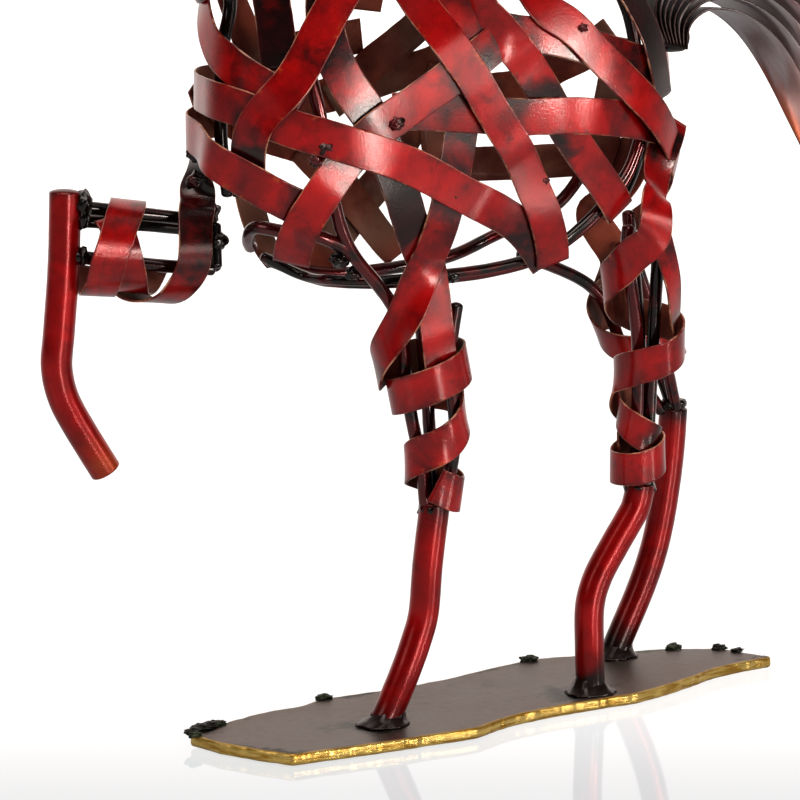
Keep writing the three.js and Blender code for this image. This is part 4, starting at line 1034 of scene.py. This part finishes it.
def lock(parts, path, twist, width, seed, start=0.0, taper=0.6):
    path = np.array(path)
    steps, _ = even_steps(path, path, 1.8)
    last = len(steps) - 1
    vertices, edge, cross, run, shade = [], [], [], [], []
    for i, p in enumerate(steps):
        f = i / last
        along = unit(steps[min(i + 1, last)] - steps[max(i - 1, 0)])
        turn = twist(f)
        outward = np.array([-along[2], 0, along[0]])
        normal = outward * math.cos(turn) + np.array([0, math.sin(turn), 0])
        normal = unit(normal - along * (normal @ along))
        across = np.cross(normal, along)
        half = width / 2 * (1 - taper * f ** 3)
        for s, h, e, n in PROFILE:
            vertices.append(p + across * s * half + normal * h * LOOK_THICKNESS)
            edge.append(e)
            cross.append(s)
            run.append(i * 1.8)
            shade.append(start + (1 - start) * f)
    parts.add(vertices, loft_faces(last + 1, len(PROFILE)), edge=edge, cross=cross, run=run, shade=shade,
              seed=seed)


TAIL_KEYS = ("edge", "cross", "run", "shade", "seed")
parts = Parts(*TAIL_KEYS)
for k in range(8):
    marks = []
    last = len(TAIL_PATH) - 1
    for i, (x, z) in enumerate(TAIL_PATH):
        nxt, prv = TAIL_PATH[min(i + 1, last)], TAIL_PATH[max(i - 1, 0)]
        length = math.hypot(nxt[0] - prv[0], nxt[1] - prv[1])
        out = (-(nxt[1] - prv[1]) / length, (nxt[0] - prv[0]) / length)
        f = i / last
        spread = k * (1.2 + 4.9 * min(1, f * 1.6))
        marks.append((x + out[0] * spread, 1.25 * k * f * 2, z + out[1] * spread))
    lock(parts, smooth_path(marks, 2), lambda f: math.pi / 2 * min(1, max(0, f * 2.2 - 0.35)), STRIP_WIDTH,
         seed=k * 3.1)
parts.tube(smooth_path([(75, 0, 229), (69, 0, 229), (62.8, 0, 229)], 1.5), 5, 16, seed=60)
finish_piece(parts.piece("tail_look"), "tail", TAIL)

parts = Parts(*TAIL_KEYS)
crest = lambda along, lift: limb_point(NK, along, 90, lift)[0]
parts.tube(smooth_path([crest(a, 9.6) for a in (30, 58, 86)], 2), 1.8, 10, seed=61)
for k in range(14):
    along = 31 + 54 * k / 13
    side = -1 if k % 2 == 0 else 1
    root = crest(along, 9.4)
    outward = unit(crest(along, 18) - root)
    back = np.array([outward[2], 0, -outward[0]])
    reach = 26 + 3 * ((k * 3) % 4)
    place = lambda out, rear, across: root + outward * out + back * rear + np.array([0, side * across, 0])
    path = [place(-1, 0, 0), place(8, 3, 1), place(13, reach * 0.5, 3), place(10, reach, 6)]
    lock(parts, smooth_path(path, 2), lambda f: side * f * 0.7, 6.2, seed=k * 2.3, start=0.15)
finish_piece(parts.piece("mane_look"), "mane", TAIL)

# ---------------------------------------------------------------- floor, light and camera
BACKDROP_WAY = (0.438, 0.899)    # the level direction from the front of the set to its backdrop
FLOOR_FADE = (-0.125, 0.03)      # metres along that way over which the floor falls off to grey


def seen_by_camera(g):
    return g.node("ShaderNodeLightPath").outputs["Is Camera Ray"]


def along_backdrop(g, where):
    x, y, z = g.node("ShaderNodeSeparateXYZ", {0: where}).outputs
    return g.add(g.times(x, BACKDROP_WAY[0]), g.times(y, BACKDROP_WAY[1])), z


def floor_material():
    g = Graph("pale_floor")
    s, _ = along_backdrop(g, g.place())
    # The floor glows for the camera and falls off to grey towards the front: painted shade. For other rays
    # its dim even glow lights the object from below.
    bright = g.mix(g.ramp(s, *FLOOR_FADE), (0.582, 0.616, 0.633), (0.86, 0.86, 0.86))
    strength = g.mix(seen_by_camera(g), (0.24, 0.24, 0.24), bright)
    return g.surface(Base_Color=(0.16, 0.16, 0.162), Roughness=0.05, Specular_IOR_Level=0.45,
                     Emission_Color=strength, Emission_Strength=1.0)


bpy.ops.mesh.primitive_plane_add(size=24)
floor = bpy.context.object
floor.name = "floor"
floor.location = (0, 0, -0.0005)
floor.data.materials.append(floor_material())


def studio_world():
    world = bpy.data.worlds.new("studio")
    bpy.context.scene.world = world
    world.use_nodes = True
    g = Graph.__new__(Graph)
    g.tree = world.node_tree
    way, up = along_backdrop(g, g.node("ShaderNodeTexCoord").outputs["Generated"])
    light = g.add(g.ramp(way, 0.15, 0.9, 0.03, 0.9), g.ramp(up, 0.4, 0.95, 0.0, 0.25))
    warm = g.vector(light, g.times(light, 0.86), g.times(light, 0.8))
    light = g.mix(seen_by_camera(g), warm, (1.0, 1.0, 1.0))
    g.put(g.tree.nodes["Background"], "Color", light)


studio_world()


LAMP_COLOUR = (1.0, 0.9, 0.82)


def softbox(name, azimuth, elevation, distance, size, radiance):
    """A soft light: azimuth 0 stands on the near side, positive towards the tail."""
    data = bpy.data.lights.new(name, "AREA")
    data.shape = "RECTANGLE"
    data.size, data.size_y = size
    data.energy = radiance * math.pi * size[0] * size[1]
    data.color = LAMP_COLOUR
    lamp = bpy.data.objects.new(name, data)
    a, e = math.radians(azimuth), math.radians(elevation)
    way = Vector((math.sin(a) * math.cos(e), -math.cos(a) * math.cos(e), math.sin(e)))
    lamp.location = Vector((-0.02, 0, 0.2)) + way * distance
    lamp.rotation_euler = way.to_track_quat("Z", "Y").to_euler()
    bpy.context.scene.collection.objects.link(lamp)


# Azimuth, elevation, distance, size and radiance of each light.
LAMPS = {
    "glint_chest": (3, -2, 1.3, (0.14, 0.2), 34),
    "glint_loin": (38, 5, 1.3, (0.17, 0.13), 50),
    "key": (20, 4, 1.4, (0.6, 0.3), 2.6),
    "fill": (-30, 50, 1.4, (0.9, 0.6), 3.6),
    "front": (-78, 26, 1.4, (0.5, 0.8), 1.8),
    "top": (-20, 75, 1.3, (0.9, 0.6), 1.8),
}
for name, settings in LAMPS.items():
    softbox(name, *settings)

camera = bpy.data.objects.new("camera", bpy.data.cameras.new("camera"))
bpy.context.scene.collection.objects.link(camera)
CAMERA_AZIMUTH, CAMERA_ELEVATION, CAMERA_DISTANCE, CAMERA_LENS = -26, 9, 1.0, 134.325
TARGET = Vector((-0.035, 0, 0.110))
a, e = math.radians(CAMERA_AZIMUTH), math.radians(CAMERA_ELEVATION)
back = Vector((math.sin(a) * math.cos(e), -math.cos(a) * math.cos(e), math.sin(e)))
camera.location = TARGET + back * CAMERA_DISTANCE
camera.rotation_euler = back.to_track_quat("Z", "Y").to_euler()
camera.data.sensor_width = 36
camera.data.lens = CAMERA_LENS
camera.data.clip_end = 50
bpy.context.scene.camera = camera
bpy.context.scene.view_settings.view_transform = "Standard"
